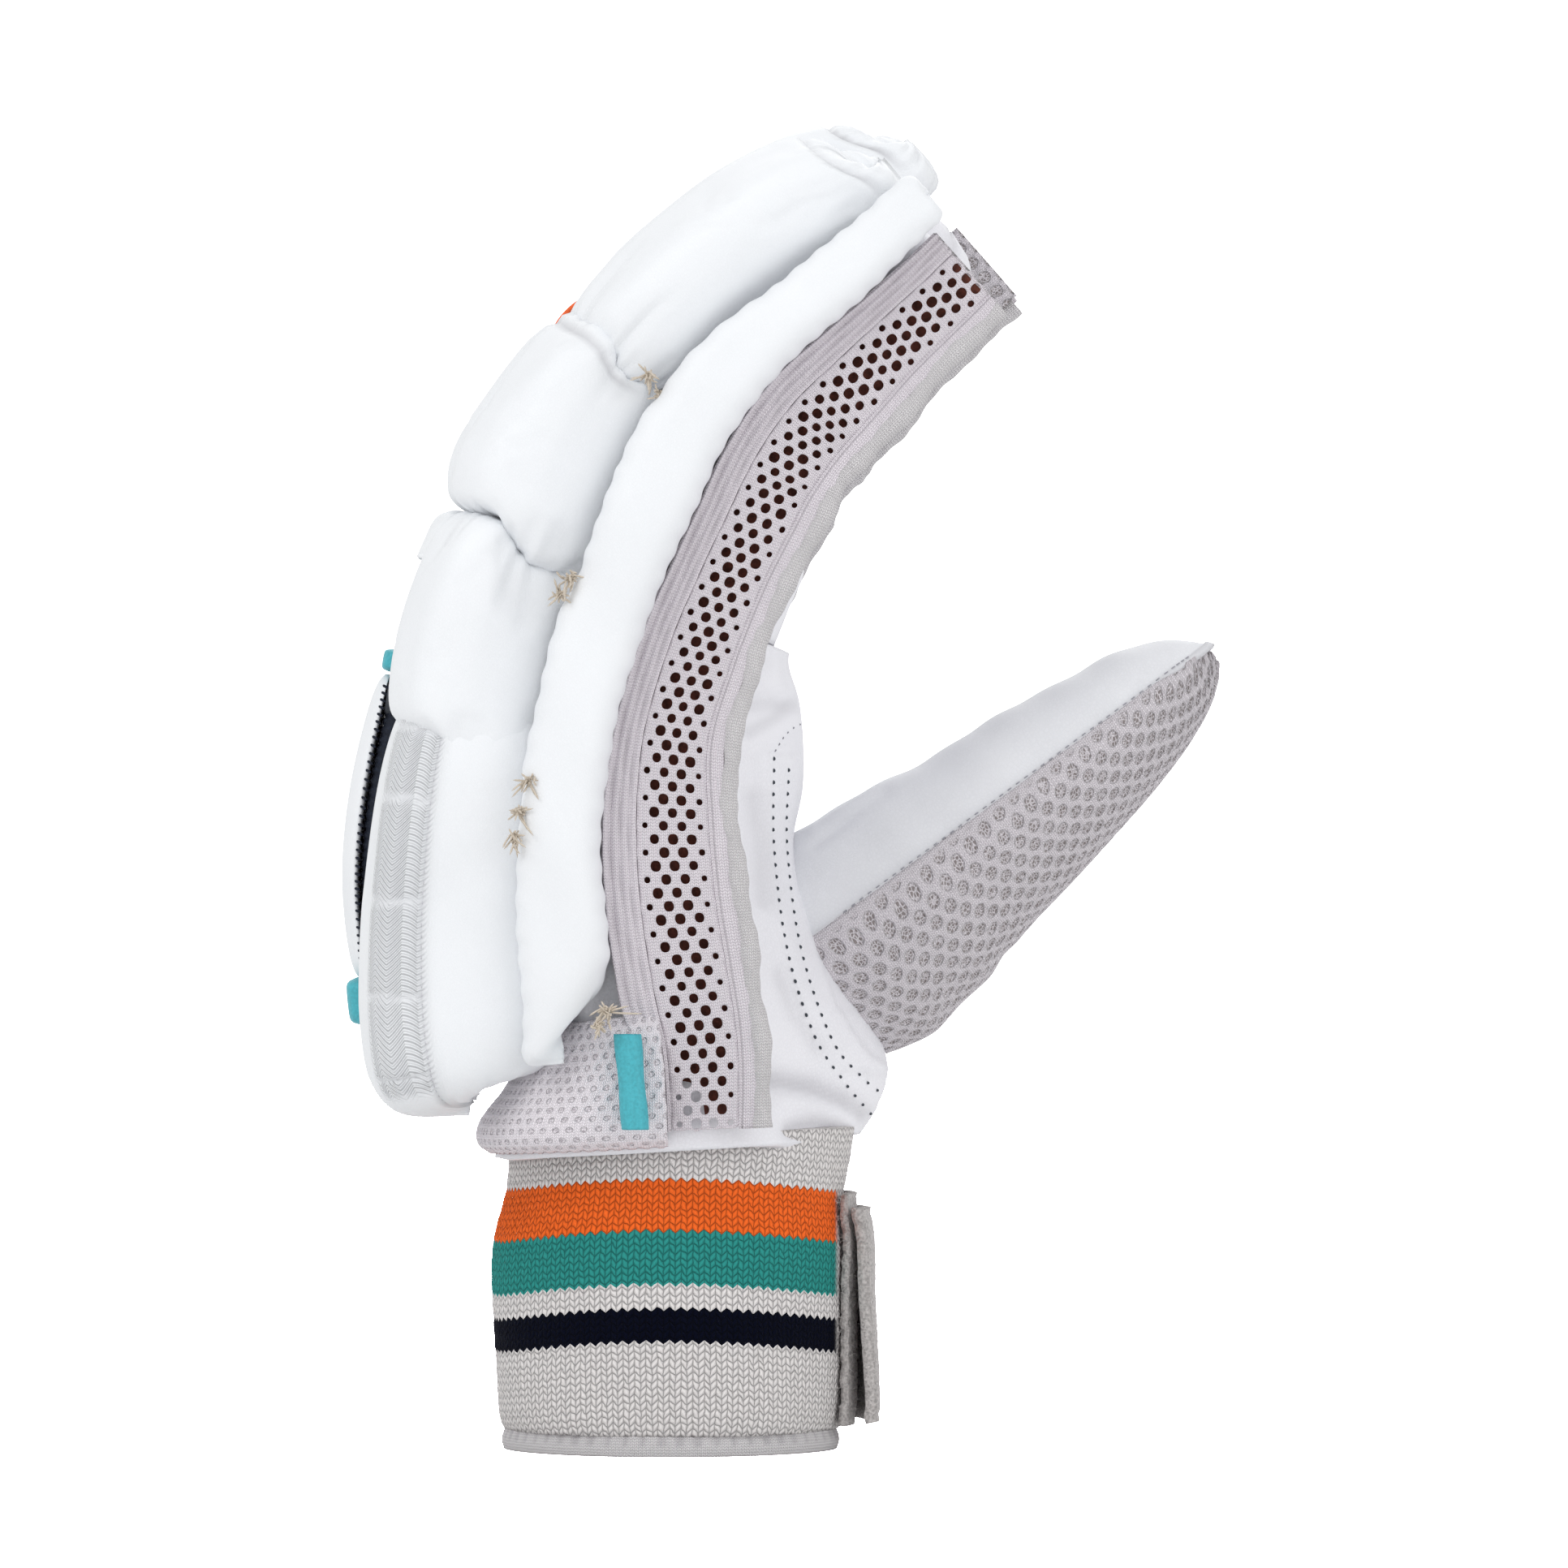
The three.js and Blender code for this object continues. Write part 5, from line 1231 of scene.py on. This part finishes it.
def make_eyelets(name, mirror, start, end):
    """Rows of cells, each with a round hole, staggered by half a cell, with half cells at row ends."""
    rows = int(round((end - start) * LINE_LENGTH / EYELET_PITCH)) * 2
    low, high = BAND_SHARE, 1 - BORDER_SHARE
    step = (high - low) / EYELET_HALVES
    rise = (end - start) / rows
    row, column = (
        grid.ravel() for grid in np.meshgrid(np.arange(rows), np.arange(EYELET_HALVES // 2), indexing="ij")
    )
    left = low + (2 * column + (row % 2)) * step
    keep = left + 2 * step <= high + 1e-6
    row, left = row[keep], left[keep]
    middle_width, middle_share = left + step, start + (row + 0.5) * rise
    angle = np.arange(EYELET_CORNERS) * 2 * math.pi / EYELET_CORNERS
    span = (strip_across(middle_share, 1.0) - strip_across(middle_share, 0.0))[:, None]
    number = np.rint((middle_width - low) / step)
    chance = np.random.default_rng(12)
    size = np.where((number <= 1) | (number >= EYELET_HALVES - 1), 0.5, 1.0) * chance.uniform(
        0.85, 1.12, number.shape,
    )
    size = size[:, None]
    hole_width = middle_width[:, None] + np.cos(angle) * EYELET_ACROSS / 2 / span * size
    hole_share = middle_share[:, None] + np.sin(angle) * EYELET_ALONG / 2 / LINE_LENGTH * size
    reach = np.maximum(np.abs(np.cos(angle)), np.abs(np.sin(angle)))
    rim_width = middle_width[:, None] + step * (np.cos(angle) / reach)
    rim_share = middle_share[:, None] + rise / 2 * (np.sin(angle) / reach)
    blend = np.linspace(0, 1, 3)[None, :, None]
    ring_share = hole_share[:, None] * (1 - blend) + rim_share[:, None] * blend
    ring_width = hole_width[:, None] * (1 - blend) + rim_width[:, None] * blend
    lip = np.array([-0.2, 0.12, 0.0])[None, :, None]
    points = strip_place(ring_share, ring_width, MESH_WALL + lip, mirror)
    cells, rings, corners = points.shape[:3]
    base = (np.arange(cells) * rings * corners)[:, None, None]
    ring, corner = np.meshgrid(np.arange(rings - 1), np.arange(corners), indexing="ij")
    after = (corner + 1) % corners
    quads = np.stack([
        base + ring * corners + corner, base + ring * corners + after,
        base + (ring + 1) * corners + after, base + (ring + 1) * corners + corner,
    ], -1).reshape(-1, 4)
    odd = np.arange(1, rows, 2)
    ends = np.concatenate([np.stack([odd, np.full(odd.shape, w)], -1) for w in (low, high - step)])
    grid_row, grid_width = ends[:, 0, None], ends[:, 1, None]
    side_share = start + (grid_row + np.array([0, 0, 0.5, 0.5, 1, 1])) * rise
    side_width = grid_width + np.array([0, 1, 0, 1, 0, 1]) * step
    side_points = strip_place(side_share, side_width, MESH_WALL, mirror)
    first = points.reshape(-1, 3).shape[0] + np.arange(len(ends))[:, None, None] * 6
    side_quads = (first + np.array([[0, 1, 3, 2], [2, 3, 5, 4]])[None]).reshape(-1, 4)
    vertices = np.concatenate([points.reshape(-1, 3), side_points.reshape(-1, 3)])
    quads = np.concatenate([quads, side_quads])
    flat = np.concatenate([
        np.stack([(ring_width * 26).ravel(), (ring_share * LINE_LENGTH).ravel()], -1),
        np.stack([(side_width * 26).ravel(), (side_share * LINE_LENGTH).ravel()], -1),
    ])
    a, b, c = (vertices[quads[:, i]] for i in (0, 1, 2))
    away = np.cross(b - a, c - a)[:, 1] * mirror > 0
    quads = np.where(away[:, None], quads, quads[:, ::-1])
    piece = build(name, vertices, quads.tolist(), MESH_CLOTH, flat[quads].reshape(-1, 2))
    weld = piece.modifiers.new("joined cells", "WELD")
    weld.merge_threshold = 0.02 * MM
    wall = piece.modifiers.new("wall", "SOLIDIFY")
    wall.thickness = MESH_WALL * 0.8 * MM
    wall.offset = -1
    smooth = piece.modifiers.new("round holes", "SUBSURF")
    smooth.levels = smooth.render_levels = 1 if mirror < 0 else 0
    return step


def make_strip(mirror, start, end, label, replaced):
    """A strip: a ribbed band, a field of pierced cells, a sewn border, a brown liner darkened with painted
    shade, and a facing.
    """
    middle = (0, 0, 150)
    step = make_eyelets(label + "_eyelet_field", mirror, start, end)
    share = np.linspace(start, end, 200)[:, None]
    width = np.linspace(0, BAND_SHARE + step * 0.05, 34)[None]
    ribs = 0.3 * np.sin(width / BAND_SHARE * 2 * math.pi * 3.5) * smoothstep(BAND_SHARE - width, 0.0, 0.03)
    ribs = ribs + 0.12 * np.sin(share * LINE_LENGTH / 2.1 + 30 * width) + 0.8 * smoothstep(-width, -0.05, 0)
    # The fold mark is painted shade in the valleys between the ribs.
    surface(
        label + "_ribbed_band", strip_place(share, width, MESH_WALL + ribs, mirror), MESH_CLOTH,
        around=False,
        centre=middle, wall=MESH_WALL * 0.7, replaces=(replaced,),
        marks={"fold": 0.4 * smoothstep(-ribs, 0.1, 0.4) + 0 * share},
    )
    width = np.linspace(1 - BORDER_SHARE - step * 0.05, 1.03, 18)[None]
    sewn = bump(width, 1 - BORDER_SHARE * 0.75, 0.008)
    # The fold mark is painted shade along the sewn line.
    surface(
        label + "_border", strip_place(share, width, MESH_WALL - 0.35 * sewn, mirror), MESH_CLOTH,
        around=False, centre=middle, wall=MESH_WALL * 0.7, marks={"fold": 0.5 * sewn + 0 * share},
    )
    width = np.linspace(0.12, 0.95, 12)[None]
    share = np.linspace(start + 0.015, end - 0.003, 90)[:, None]
    # Painted shade: a dark brown sheet behind the eyelets.
    surface(
        label + "_liner", strip_place(share, width, -1.2, mirror), LINER_IN_PAINTED_SHADE, around=False,
        centre=middle,
        wall=0.4,
    )
    width = np.linspace(-0.02, 1.0, 30)[None]
    share = np.linspace(end - 0.14, end + 0.002, 50)[:, None]
    net = 0.35 * np.sin(width * 60) * np.sin(share * LINE_LENGTH * 1.9)
    surface(
        label + "_facing", strip_place(share, width, -1.9 + net, mirror), SPACER_CLOTH,
        around=False,
        centre=middle, wall=0.4,
    )


def make_strip_hem(name, mirror, start, end, replaced=()):
    """The rolled hem: a round roll along the strip's free edge, waving in and out and curling in places."""
    share = np.linspace(start, end, 300)[:, None]
    s = share * LINE_LENGTH
    wave = 0.6 * np.sin(s / 6.5) + 0.45 * np.sin(s / 3.1 + 1) + 0.9 * bump(s, 84, 7) + 0.5 * bump(s, 40, 12)
    u, v = oval(18, 2.0)
    half = HEM_ROLL_WIDTH / 2 * (1 + 0.1 * np.sin(s / 2.7) + 0.06 * np.sin(s / 0.9 + 4 * u[None]))
    across = strip_across(share, 1.0) + CLEARANCE + HEM_ROLL_WIDTH / 2 - 0.4 + wave * 0.6 + u[None] * half
    side = mirror * (strip_side(share, 1.0, MESH_WALL / 2) + wave * 0.5) + v[None] * half
    surface(name, place(share, across, side), HEM_CLOTH, caps=True, replaces=replaced)


# The thumb

THUMB_ROWS = table(
    "at up down wide",
    (-0.2, 0.86, 0.86, 1), (0, 1.02, 1.08, 1.06), (0.1, 1, 1.02, 1.02), (0.21, 0.95, 0.97, 0.98),
    (0.31, 0.87, 0.85, 0.94),
    (0.45, 0.83, 0.75, 0.9), (0.58, 0.77, 0.65, 0.84), (0.72, 0.7, 0.53, 0.76), (0.84, 0.61, 0.39, 0.64),
    (0.93, 0.46, 0.23, 0.48), (0.98, 0.32, 0.08, 0.28), (1, 0.22, -0.02, 0.16),
)
THUMB_OUT = np.array([math.cos(THUMB_RISE), 0, math.sin(THUMB_RISE)])
THUMB_UP = np.array([-math.sin(THUMB_RISE), 0, math.cos(THUMB_RISE)])
THUMB_POWER = 2.4
THUMB_FOLDS = (
    (-0.7, 1.5, ((1000, 1000), (1040, 985), (1075, 955))),
    (-0.6, 1.3, ((1003, 1040), (1050, 1005), (1090, 975))),
    (0.7, 1.8, ((1002, 1020), (1045, 996), (1080, 966))),
    (-0.5, 1.4, ((1005, 975), (1035, 965), (1060, 955))),
    (-0.4, 1.6, ((1350, 890), (1385, 868), (1400, 845))),
    (0.4, 1.4, ((1395, 840), (1425, 832), (1450, 822))),
)
WEB_LINE = ((1004, 966), (1030, 962), (1060, 963), (1082, 963))


def thumb_place(along, up, side):
    """The point so far along the thumb's line, up from it, and to the side of its slanting middle."""
    along, up, side = np.broadcast_arrays(along, up, side)
    middle = THUMB_BASE[1] + (THUMB_TIP_SIDE - THUMB_BASE[1]) * along
    point = np.array(THUMB_BASE) * (1, 0, 1) + along[..., None] * THUMB_LENGTH * THUMB_OUT
    point = point + up[..., None] * THUMB_UP
    point[..., 1] = middle + side
    return point


def thumb_half_sizes(along):
    up, down = (read(THUMB_ROWS, name, along) * THUMB_DEPTH / 2 for name in ("up", "down"))
    return (up - down) / 2, (up + down) / 2, read(THUMB_ROWS, "wide", along) * THUMB_BREADTH / 2


def dimples(uv, along, across, size):
    """1 in each of the dimples that the open mesh's material draws, on the same map."""
    near = np.full(uv.shape[:2], 9.0)
    for shift in (0.0, 0.5):
        off = [(uv[..., i] / pitch + shift) % 1 - 0.5 for i, pitch in ((0, along), (1, across))]
        near = np.minimum(near, np.hypot(off[0] * along, off[1] * across))
    return smoothstep(size * 1.15 - near, 0, size * 0.5)


def make_thumb_half(name, above, material):
    """The thumb's skin on one side of its seam: the part of each oval between the seam's two lines."""
    along = np.concatenate([np.linspace(-0.1, 0.9, 106), np.linspace(0.906, 1, 18)])[:, None]
    middle, half, wide = thumb_half_sizes(along)
    meet = np.clip((THUMB_SEAM - middle) / half, -0.97, 0.97)
    low = np.arcsin(np.sign(meet) * np.abs(meet) ** (THUMB_POWER / 2))
    t = np.linspace(0, 1, 88)[None]
    angle = low + (math.pi - 2 * low) * t if above else low - (math.pi + 2 * low) * t
    c, s = np.cos(angle), np.sin(angle)
    u = np.sign(c) * np.abs(c) ** (2 / THUMB_POWER)
    v = np.sign(s) * np.abs(s) ** (2 / THUMB_POWER)
    points = thumb_place(along, middle + v * half, u * wide)
    centre = thumb_place(np.array(0.4), np.array(2.0), np.array(0.0))
    edge = np.minimum(t, 1 - t)
    seam = np.exp(-edge / 0.012)
    if above:
        face = facing_eye(points, False, centre)
        height = relief(points, THUMB_FOLDS, face) + 0.5 * seam
        slow = 0.25 * np.sin(along * 21 + 5 * t) + 0.2 * np.sin(along * 47 - 9 * t)
        points = raised(points, height + slow * 0.8, False, centre)
        # The fold mark is painted shade along the seam edges.
        marks, maps = {"fold": 0.35 * seam + 0 * along}, None
    else:
        uv = np.stack(np.broadcast_arrays(
            along * THUMB_LENGTH, t * 92.0 * (0.35 + 0.65 * read(THUMB_ROWS, "wide", along)),
        ), -1)
        hole = dimples(uv, *THUMB_DIMPLES)
        wave = 0.9 * bump(along, 0.235, 0.035) * smoothstep(0.3 - np.abs(t - 0.5), 0, 0.2)
        points = raised(points, -0.75 * hole * smoothstep(edge, 0.015, 0.05) - wave, False, centre)
        marks, maps = {"plain": 1 - smoothstep(edge, 0.01, 0.03) + 0 * along}, uv
    piece = surface(
        name + "_skin", points, material, around=False, centre=centre, wall=LEATHER_WALL * 0.9,
        replaces=(name,),
        marks=marks, maps=maps,
    )
    if above:
        for label, column in (("near", -1), ("far", 0)):
            line = points[12:114, column]
            steps = np.linspace(0, len(line) - 1, 44)
            spaced = np.stack([np.interp(steps, np.arange(len(line)), line[:, i]) for i in range(3)], -1)
            out = np.broadcast_to(np.array([0.0, -1.0 if column else 1.0, 0.0]), spaced.shape)
            stitches("thumb_seam_" + label, [(spaced, out)], STITCH, 1.2, 0.14)
        web = on_piece(piece, smooth_line(spots(*WEB_LINE), 1.9))
        if len(web[0]) > 2:
            stitches("web_stitches", [web], STITCH, 1.1, 0.18)


def make_thumb_pad():
    swing, size = end_curve(70, 4.0, 36.0, 17.0)
    along = (0.16 + 0.76 * (swing + 1) / 2)[:, None]
    middle, half, wide = thumb_half_sizes(along)
    u, v = oval(76, 3.0)
    size = np.maximum(size, 0.02)[:, None]
    points = thumb_place(
        along, middle + v[None] * half * 0.86 * size,
        wide * 0.78 + THUMB_PAD_THICKNESS / 2 * (1 + u[None] * size),
    )
    groove = bump(along, 0.54, 0.012) * smoothstep(u[None], 0.2, 0.6)
    points = raised(
        points, puckers(u[None] + 0 * size, v[None] + 0 * size, (along - 0.16) / 0.76, 91) - 1.4 * groove,
    )
    # The fold mark is painted shade in the groove.
    piece = surface(
        "thumb_back_pad", points, PAD_LEATHER, caps=True, replaces=("thumb_pad",),
        marks={"fold": 0.6 * groove},
    )


# The cuff

CUFF_ROWS = table(
    "at front back side",
    (0, 0.985, 0.985, 0.99), (0.1, 1, 1, 1), (0.45, 1.005, 1.02, 1.01), (0.62, 1.015, 1.01, 1),
    (0.78, 1, 0.945, 0.96),
    (0.9, 1.03, 0.93, 0.955), (1, 1.05, 0.935, 0.96),
)
CUFF_BOTTOM = HEM_HEIGHT + CLEARANCE
STRIPE_ARCH = 3.4
CUFF_WALL = 2.6
CUFF_MEAN_RADIUS = 36.3


def cuff_grid(height, angle, grow):
    """The cuff's skin: half an ellipse to the palm side and half an ellipse to the back, at each height."""
    share = (height - CUFF_BOTTOM) / (CUFF_TOP - CUFF_BOTTOM)
    front, back = (read(CUFF_ROWS, name, share) * CUFF_DEPTH / 2 + grow for name in ("front", "back"))
    side = read(CUFF_ROWS, "side", share) * CUFF_BREADTH / 2 + grow
    c = np.cos(angle)
    return np.stack(np.broadcast_arrays(c * np.where(c > 0, front, back), np.sin(angle) * side, height), -1)


def make_cuff():
    """The band, softly waved by its loops, with a map on which the stripes arch up at both sides."""
    height = np.linspace(CUFF_BOTTOM, CUFF_TOP, 72)[:, None]
    angle = np.linspace(0, 2 * math.pi, 240, endpoint=False)[None]
    points = cuff_grid(height, angle, 0.0)
    arc = np.linspace(0, 2 * math.pi * CUFF_MEAN_RADIUS, 241)[None]
    fold = np.sin(arc[:, :-1] * 2 * math.pi / CUFF_WALE)
    course = np.sin(height * 2 * math.pi / CUFF_COURSE)
    stripes_edge = sum(bump(height, z, 0.5) for z in (19.9, 26.6, 42.3, 52.6))
    soft = 0.12 * fold * course + 0.3 * np.sin(angle * 5 + height / 9) - 0.12 * stripes_edge
    bottom = -0.9 * np.exp(-(height - CUFF_BOTTOM) / 1.2)
    points = raised(points, soft + bottom)
    x = points[..., 0] / 35.0
    x = np.concatenate([x, x[:, :1]], 1)
    maps = np.stack(np.broadcast_arrays(arc, height - STRIPE_ARCH * (1 - np.clip(x, -1, 1) ** 2)), -1)
    flap = smoothstep(points[..., 0], 33.6, 34.6) * (height < 56)
    surface(
        "cuff_knit", points, CUFF_STRIPES, wall=CUFF_WALL, replaces=("cuff",), maps=maps,
        marks={"plain": flap},
    )
    height = np.linspace(0, HEM_HEIGHT + 0.9, 14)[:, None]
    points = cuff_grid(height, angle, -HEM_SETBACK)
    ticks = smoothstep(np.sin(arc[:, :-1] * 2 * math.pi / 1.25), 0.2, 0.7) * smoothstep(height, 1.9, 2.5)
    points = raised(points, 0.5 * np.sin(math.pi * height / HEM_HEIGHT) - 0.18 * ticks)
    # The fold mark is painted shade in the small sunk ticks.
    surface(
        "cuff_binding", points, HEM_CLOTH, wall=2.0, replaces=("cuff_hem",),
        marks={"fold": 0.55 * ticks},
    )


def fuzz(shape, seed):
    """Short uneven waves over a grid, from 0 to 1, smoothed once along both ways."""
    noise = np.random.default_rng(seed).uniform(0, 1, shape)
    for axis in (0, 1):
        noise = (np.roll(noise, 1, axis) + 2 * noise + np.roll(noise, -1, axis)) / 4
    return noise


FACET = math.radians(18)


def make_tapes():
    angle = np.linspace(-FACET, 2 * FACET, 76)[None]
    height = np.linspace(TAPE_BOTTOM, TAPE_BOTTOM + TAPE_HEIGHT, 96)[:, None]
    rough = 1.1 * fuzz((96, 76), 3)
    points = cuff_grid(height, angle, CLEARANCE + TAPE_THICKNESS + rough)
    surface(
        "hook_tape", points, TAPE_FUZZ, around=False, centre=(0, 0, 30), wall=TAPE_THICKNESS,
        replaces=("hook_strip",),
    )
    angle = np.linspace(-FACET, 3 * FACET, 80)[None]
    height = np.linspace(TAPE_BOTTOM + 1, TAPE_BOTTOM + TAPE_HEIGHT - 3, 88)[:, None]
    t = (angle + FACET) / (4 * FACET)
    rise = (height - height[0]) / (height[-1] - height[0])
    flare = 4.4 * (1 - t) ** 2 * (1 - 0.75 * rise)
    rim = bump(np.minimum(t, 1 - t), 0.02, 0.012) + bump(np.minimum(rise, 1 - rise), 0.03, 0.018)
    grown = CLEARANCE * 2 + TAPE_THICKNESS + TAB_THICKNESS + flare - 0.35 * rim + 0.3 * fuzz((88, 80), 4)
    surface(
        "closing_tab", cuff_grid(height, angle, grown), TAPE_FUZZ, around=False, centre=(0, 0, 30),
        wall=TAB_THICKNESS, replaces=("strap_tab",), marks={"fold": np.clip(rim, 0, 1)},
    )
    chance = np.random.default_rng(21)
    hairs = []
    for _ in range(520):
        turn, z = -FACET * chance.uniform(0.0, 1.15), chance.uniform(
            TAPE_BOTTOM, TAPE_BOTTOM + TAPE_HEIGHT + 1.0,
        )
        root = cuff_grid(np.array(z), np.array(turn), chance.uniform(0.0, CLEARANCE + TAPE_THICKNESS + 0.4))
        way = unit(np.array([1.2, -0.8, 0.0]) + chance.normal(size=3) * 0.7)
        bend = chance.normal(size=3) * 0.8
        step = np.linspace(0, 1, 5)[:, None]
        long = chance.uniform(0.5, 1.3)
        hairs.append(root + way * step * long + bend * step**2 * long * 0.6)
    tubes("tape_fuzz", hairs, 0.05, TAPE_HAIR, sides=4)


# The heel band and the tube

HEEL_ROWS = table(
    "at bulge", (0.004, 0.0), (0.012, 0.62), (0.025, 0.92), (0.045, 1.0), (0.07, 0.9), (0.1, 0.66),
    (0.125, 0.4), (0.14, 0.0),
)
HEEL_SEAT = CLEARANCE * 1.5


def make_heel():
    """The band that swells over the cuff: full below, thin above, with pleats that fan out."""
    u, v = oval(230, PALM_POWER, math.pi, 2 * math.pi, stretch=1.4)
    share = np.linspace(0.004, 0.14, 54)[:, None]
    bulge = read(HEEL_ROWS, "bulge", share)
    pleats = 0.28 * np.sin(v[None] * 62 + share * 150 * np.sign(u[None])) * smoothstep(bulge, 0.2, 0.8)
    points = palm_grid(
        share, u[None], v[None], HEEL_SEAT + MESH_WALL * 0.6 + bulge * HEEL_BULGE + pleats * 0.4,
    )
    uv = flat_map(points, False)
    hole = dimples(uv, *HEEL_DIMPLES)
    points = raised(points, -0.3 * hole, False, (0, 0, 72))
    surface(
        "heel_band", points, HEEL_CLOTH, around=False, centre=(0, 0, 72), wall=MESH_WALL,
        replaces=("heel_mesh",), maps=uv,
    )


def make_tube():
    """The short open tube, leaning, a little flattened, with a fold along its middle."""
    low, high = (np.array(corner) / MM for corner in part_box("tube_tag"))
    middle = (low + high) / 2
    t = np.linspace(0, 1, 40)[:, None]
    angle = np.linspace(0, 2 * math.pi, 32, endpoint=False)[None]
    half = TUBE_WIDTH / 2 * (1 + 0.04 * np.sin(t * 9))
    lean = 1.6 * (0.5 - t)
    points = np.stack(np.broadcast_arrays(
        middle[0] + lean + np.cos(angle) * half,
        middle[1] + np.sin(angle) * half * 0.9 + 0.4 * bump(np.cos(angle), 0.1, 0.15) * (np.sin(angle) < 0),
        low[2] + t * TUBE_LENGTH,
    ), -1)
    surface("tube_rubber", points, TEAL, wall=(TUBE_WIDTH - TUBE_BORE) / 2, replaces=("tube_tag",))


# Loose threads: places as seen, depth to the side, reach and seed
TUFTS = table(
    "x z side reach seed",
    (798, 462, -50.5, 4.6, 1), (812, 486, -50.0, 3.8, 2), (702, 712, -53.5, 4.6, 3),
    (690, 732, -53.5, 3.6, 4),
    (652, 962, -54.5, 4.4, 5), (640, 1000, -54.5, 3.6, 6), (634, 1030, -55.0, 4.2, 7),
    (748, 1246, -54.0, 4.6, 8),
    (738, 1262, -54.0, 3.4, 9),
)


def make_tufts():
    paths = []
    for x, z, side, reach, seed in zip(*(TUFTS[key] for key in ("x", "z", "side", "reach", "seed"))):
        seen_x, seen_z = spots((x, z))[0]
        back = (CAMERA_DISTANCE + side) / CAMERA_DISTANCE
        middle = (
            VIEW_MIDDLE[0] + (seen_x - VIEW_MIDDLE[0]) * back, side,
            VIEW_MIDDLE[1] + (seen_z - VIEW_MIDDLE[1]) * back,
        )
        paths += tuft(middle, reach * 0.85, int(seed), count=12, droop=0.5)
        paths += tuft(middle, reach * 0.35, int(seed) + 50, count=22, droop=0.1)
    tubes("thread_tufts", paths, 0.22, THREAD, sides=5)


PATCH_ENDS = ((681, 408), (719, 368))
PATCH_BREADTH = 12.0


def make_patch():
    """The small orange patch: a thin rounded plate laid over the step between two rolls."""
    (low_x, low_z), (high_x, high_z) = spots(*PATCH_ENDS)
    t = np.linspace(0, 1, 24)[:, None]
    u, v = oval(40, 6.0, stretch=0.1)
    close = np.maximum(1 - np.abs(2 * t - 1) ** 12, 0.02) ** 0.25
    out = unit(np.array([low_z - high_z, 0.0, high_x - low_x]))
    middle = np.stack(
        np.broadcast_arrays(low_x + (high_x - low_x) * t, 0.0 * t, low_z + (high_z - low_z) * t), -1,
    )
    bow = 0.7 * (1 - (2 * t - 1) ** 2)
    points = middle + out * (bow + v[None] * 0.6 * close - 0.3)[..., None]
    points[..., 1] += 2.0 + u[None] * PATCH_BREADTH / 2 * close
    surface("orange_patch", points, ORANGE, caps=True, replaces=("finger_patch",))


make_palm()
for finger in FINGERS:
    make_stall(finger)
    make_finger_pads(finger)
make_side_roll()
for block in BLOCKS:
    make_block(block)
make_panel()
make_strip(-1, STRIP_FROM, STRIP_TO, "side", "side_mesh")
make_strip_hem("strip_hem_roll", -1, STRIP_FROM, STRIP_TO, ("side_mesh_hem",))
make_strip(1, 0.36, 1.035, "index", "index_mesh")
make_strip_hem("index_hem_roll", 1, 0.36, 1.03)
make_thumb_half("thumb_leather", True, THUMB_LEATHER)
make_thumb_half("thumb_mesh", False, SPACER_CLOTH)
make_thumb_pad()
make_cuff()
make_tapes()
make_heel()
make_tube()
make_tufts()
make_patch()


# Camera, lights and floor

FRAME_WIDTH = 322.0
# How bright the sky is to the eye alone, and as a light; and the floor to the eye
SKY_GLOW = 1.5
SKY_LIGHT = 0.84
FLOOR_GLOW = 14.0


def white_to_the_eye(strength):
    """A plain white that shows bright where the eye sees it and lights the rest softly."""
    material, tree, shader = start_material("white floor", 1.0, specular=0.0)
    shader.inputs["Base Color"].default_value = (0.85, 0.85, 0.85, 1)
    shader.inputs["Emission Color"].default_value = (1, 1, 1, 1)
    path = add(tree, "ShaderNodeLightPath")
    tree.links.new(
        calc(tree, "MULTIPLY", path.outputs["Is Camera Ray"], strength), shader.inputs["Emission Strength"],
    )
    return material


def make_studio():
    camera = bpy.data.objects.new("camera", bpy.data.cameras.new("camera"))
    camera.data.sensor_width = 36
    camera.data.lens = 36 * CAMERA_DISTANCE / FRAME_WIDTH
    camera.location = (VIEW_MIDDLE[0] * MM, -CAMERA_DISTANCE * MM, VIEW_MIDDLE[1] * MM)
    camera.rotation_euler = (math.pi / 2, 0, 0)
    bpy.context.scene.collection.objects.link(camera)
    bpy.context.scene.camera = camera
    lights = (
        ("key light", (-1.0, -1.2, 1.3), 7.0, 0.7),
        ("fill light", (1.2, -1.4, 0.6), 5.5, 1.2),
        ("back light", (0.2, 1.3, 1.2), 5, 1.2),
    )
    for name, spot, power, size in lights:
        lamp = bpy.data.lights.new(name, "AREA")
        lamp.energy = power
        lamp.size = size
        light = bpy.data.objects.new(name, lamp)
        light.location = spot
        aim = Vector((0.02, 0, 0.13)) - light.location
        light.rotation_euler = aim.to_track_quat("-Z", "Y").to_euler()
        bpy.context.scene.collection.objects.link(light)
    world = bpy.data.worlds.new("studio")
    world.use_nodes = True
    tree = world.node_tree
    background = tree.nodes["Background"]
    background.inputs["Color"].default_value = (1, 1, 1, 1)
    path = add(tree, "ShaderNodeLightPath")
    bright = calc(tree, "ADD", calc(tree, "MULTIPLY", path.outputs["Is Camera Ray"], SKY_GLOW), SKY_LIGHT)
    tree.links.new(bright, background.inputs["Strength"])
    bpy.context.scene.world = world
    bpy.context.scene.view_settings.view_transform = "Standard"
    mesh = bpy.data.meshes.new("floor")
    mesh.from_pydata([(-3, -3, 0), (3, -3, 0), (3, 3, 0), (-3, 3, 0)], [], [(0, 1, 2, 3)])
    mesh.materials.append(white_to_the_eye(FLOOR_GLOW))
    floor = bpy.data.objects.new("floor", mesh)
    bpy.context.scene.collection.objects.link(floor)


make_studio()
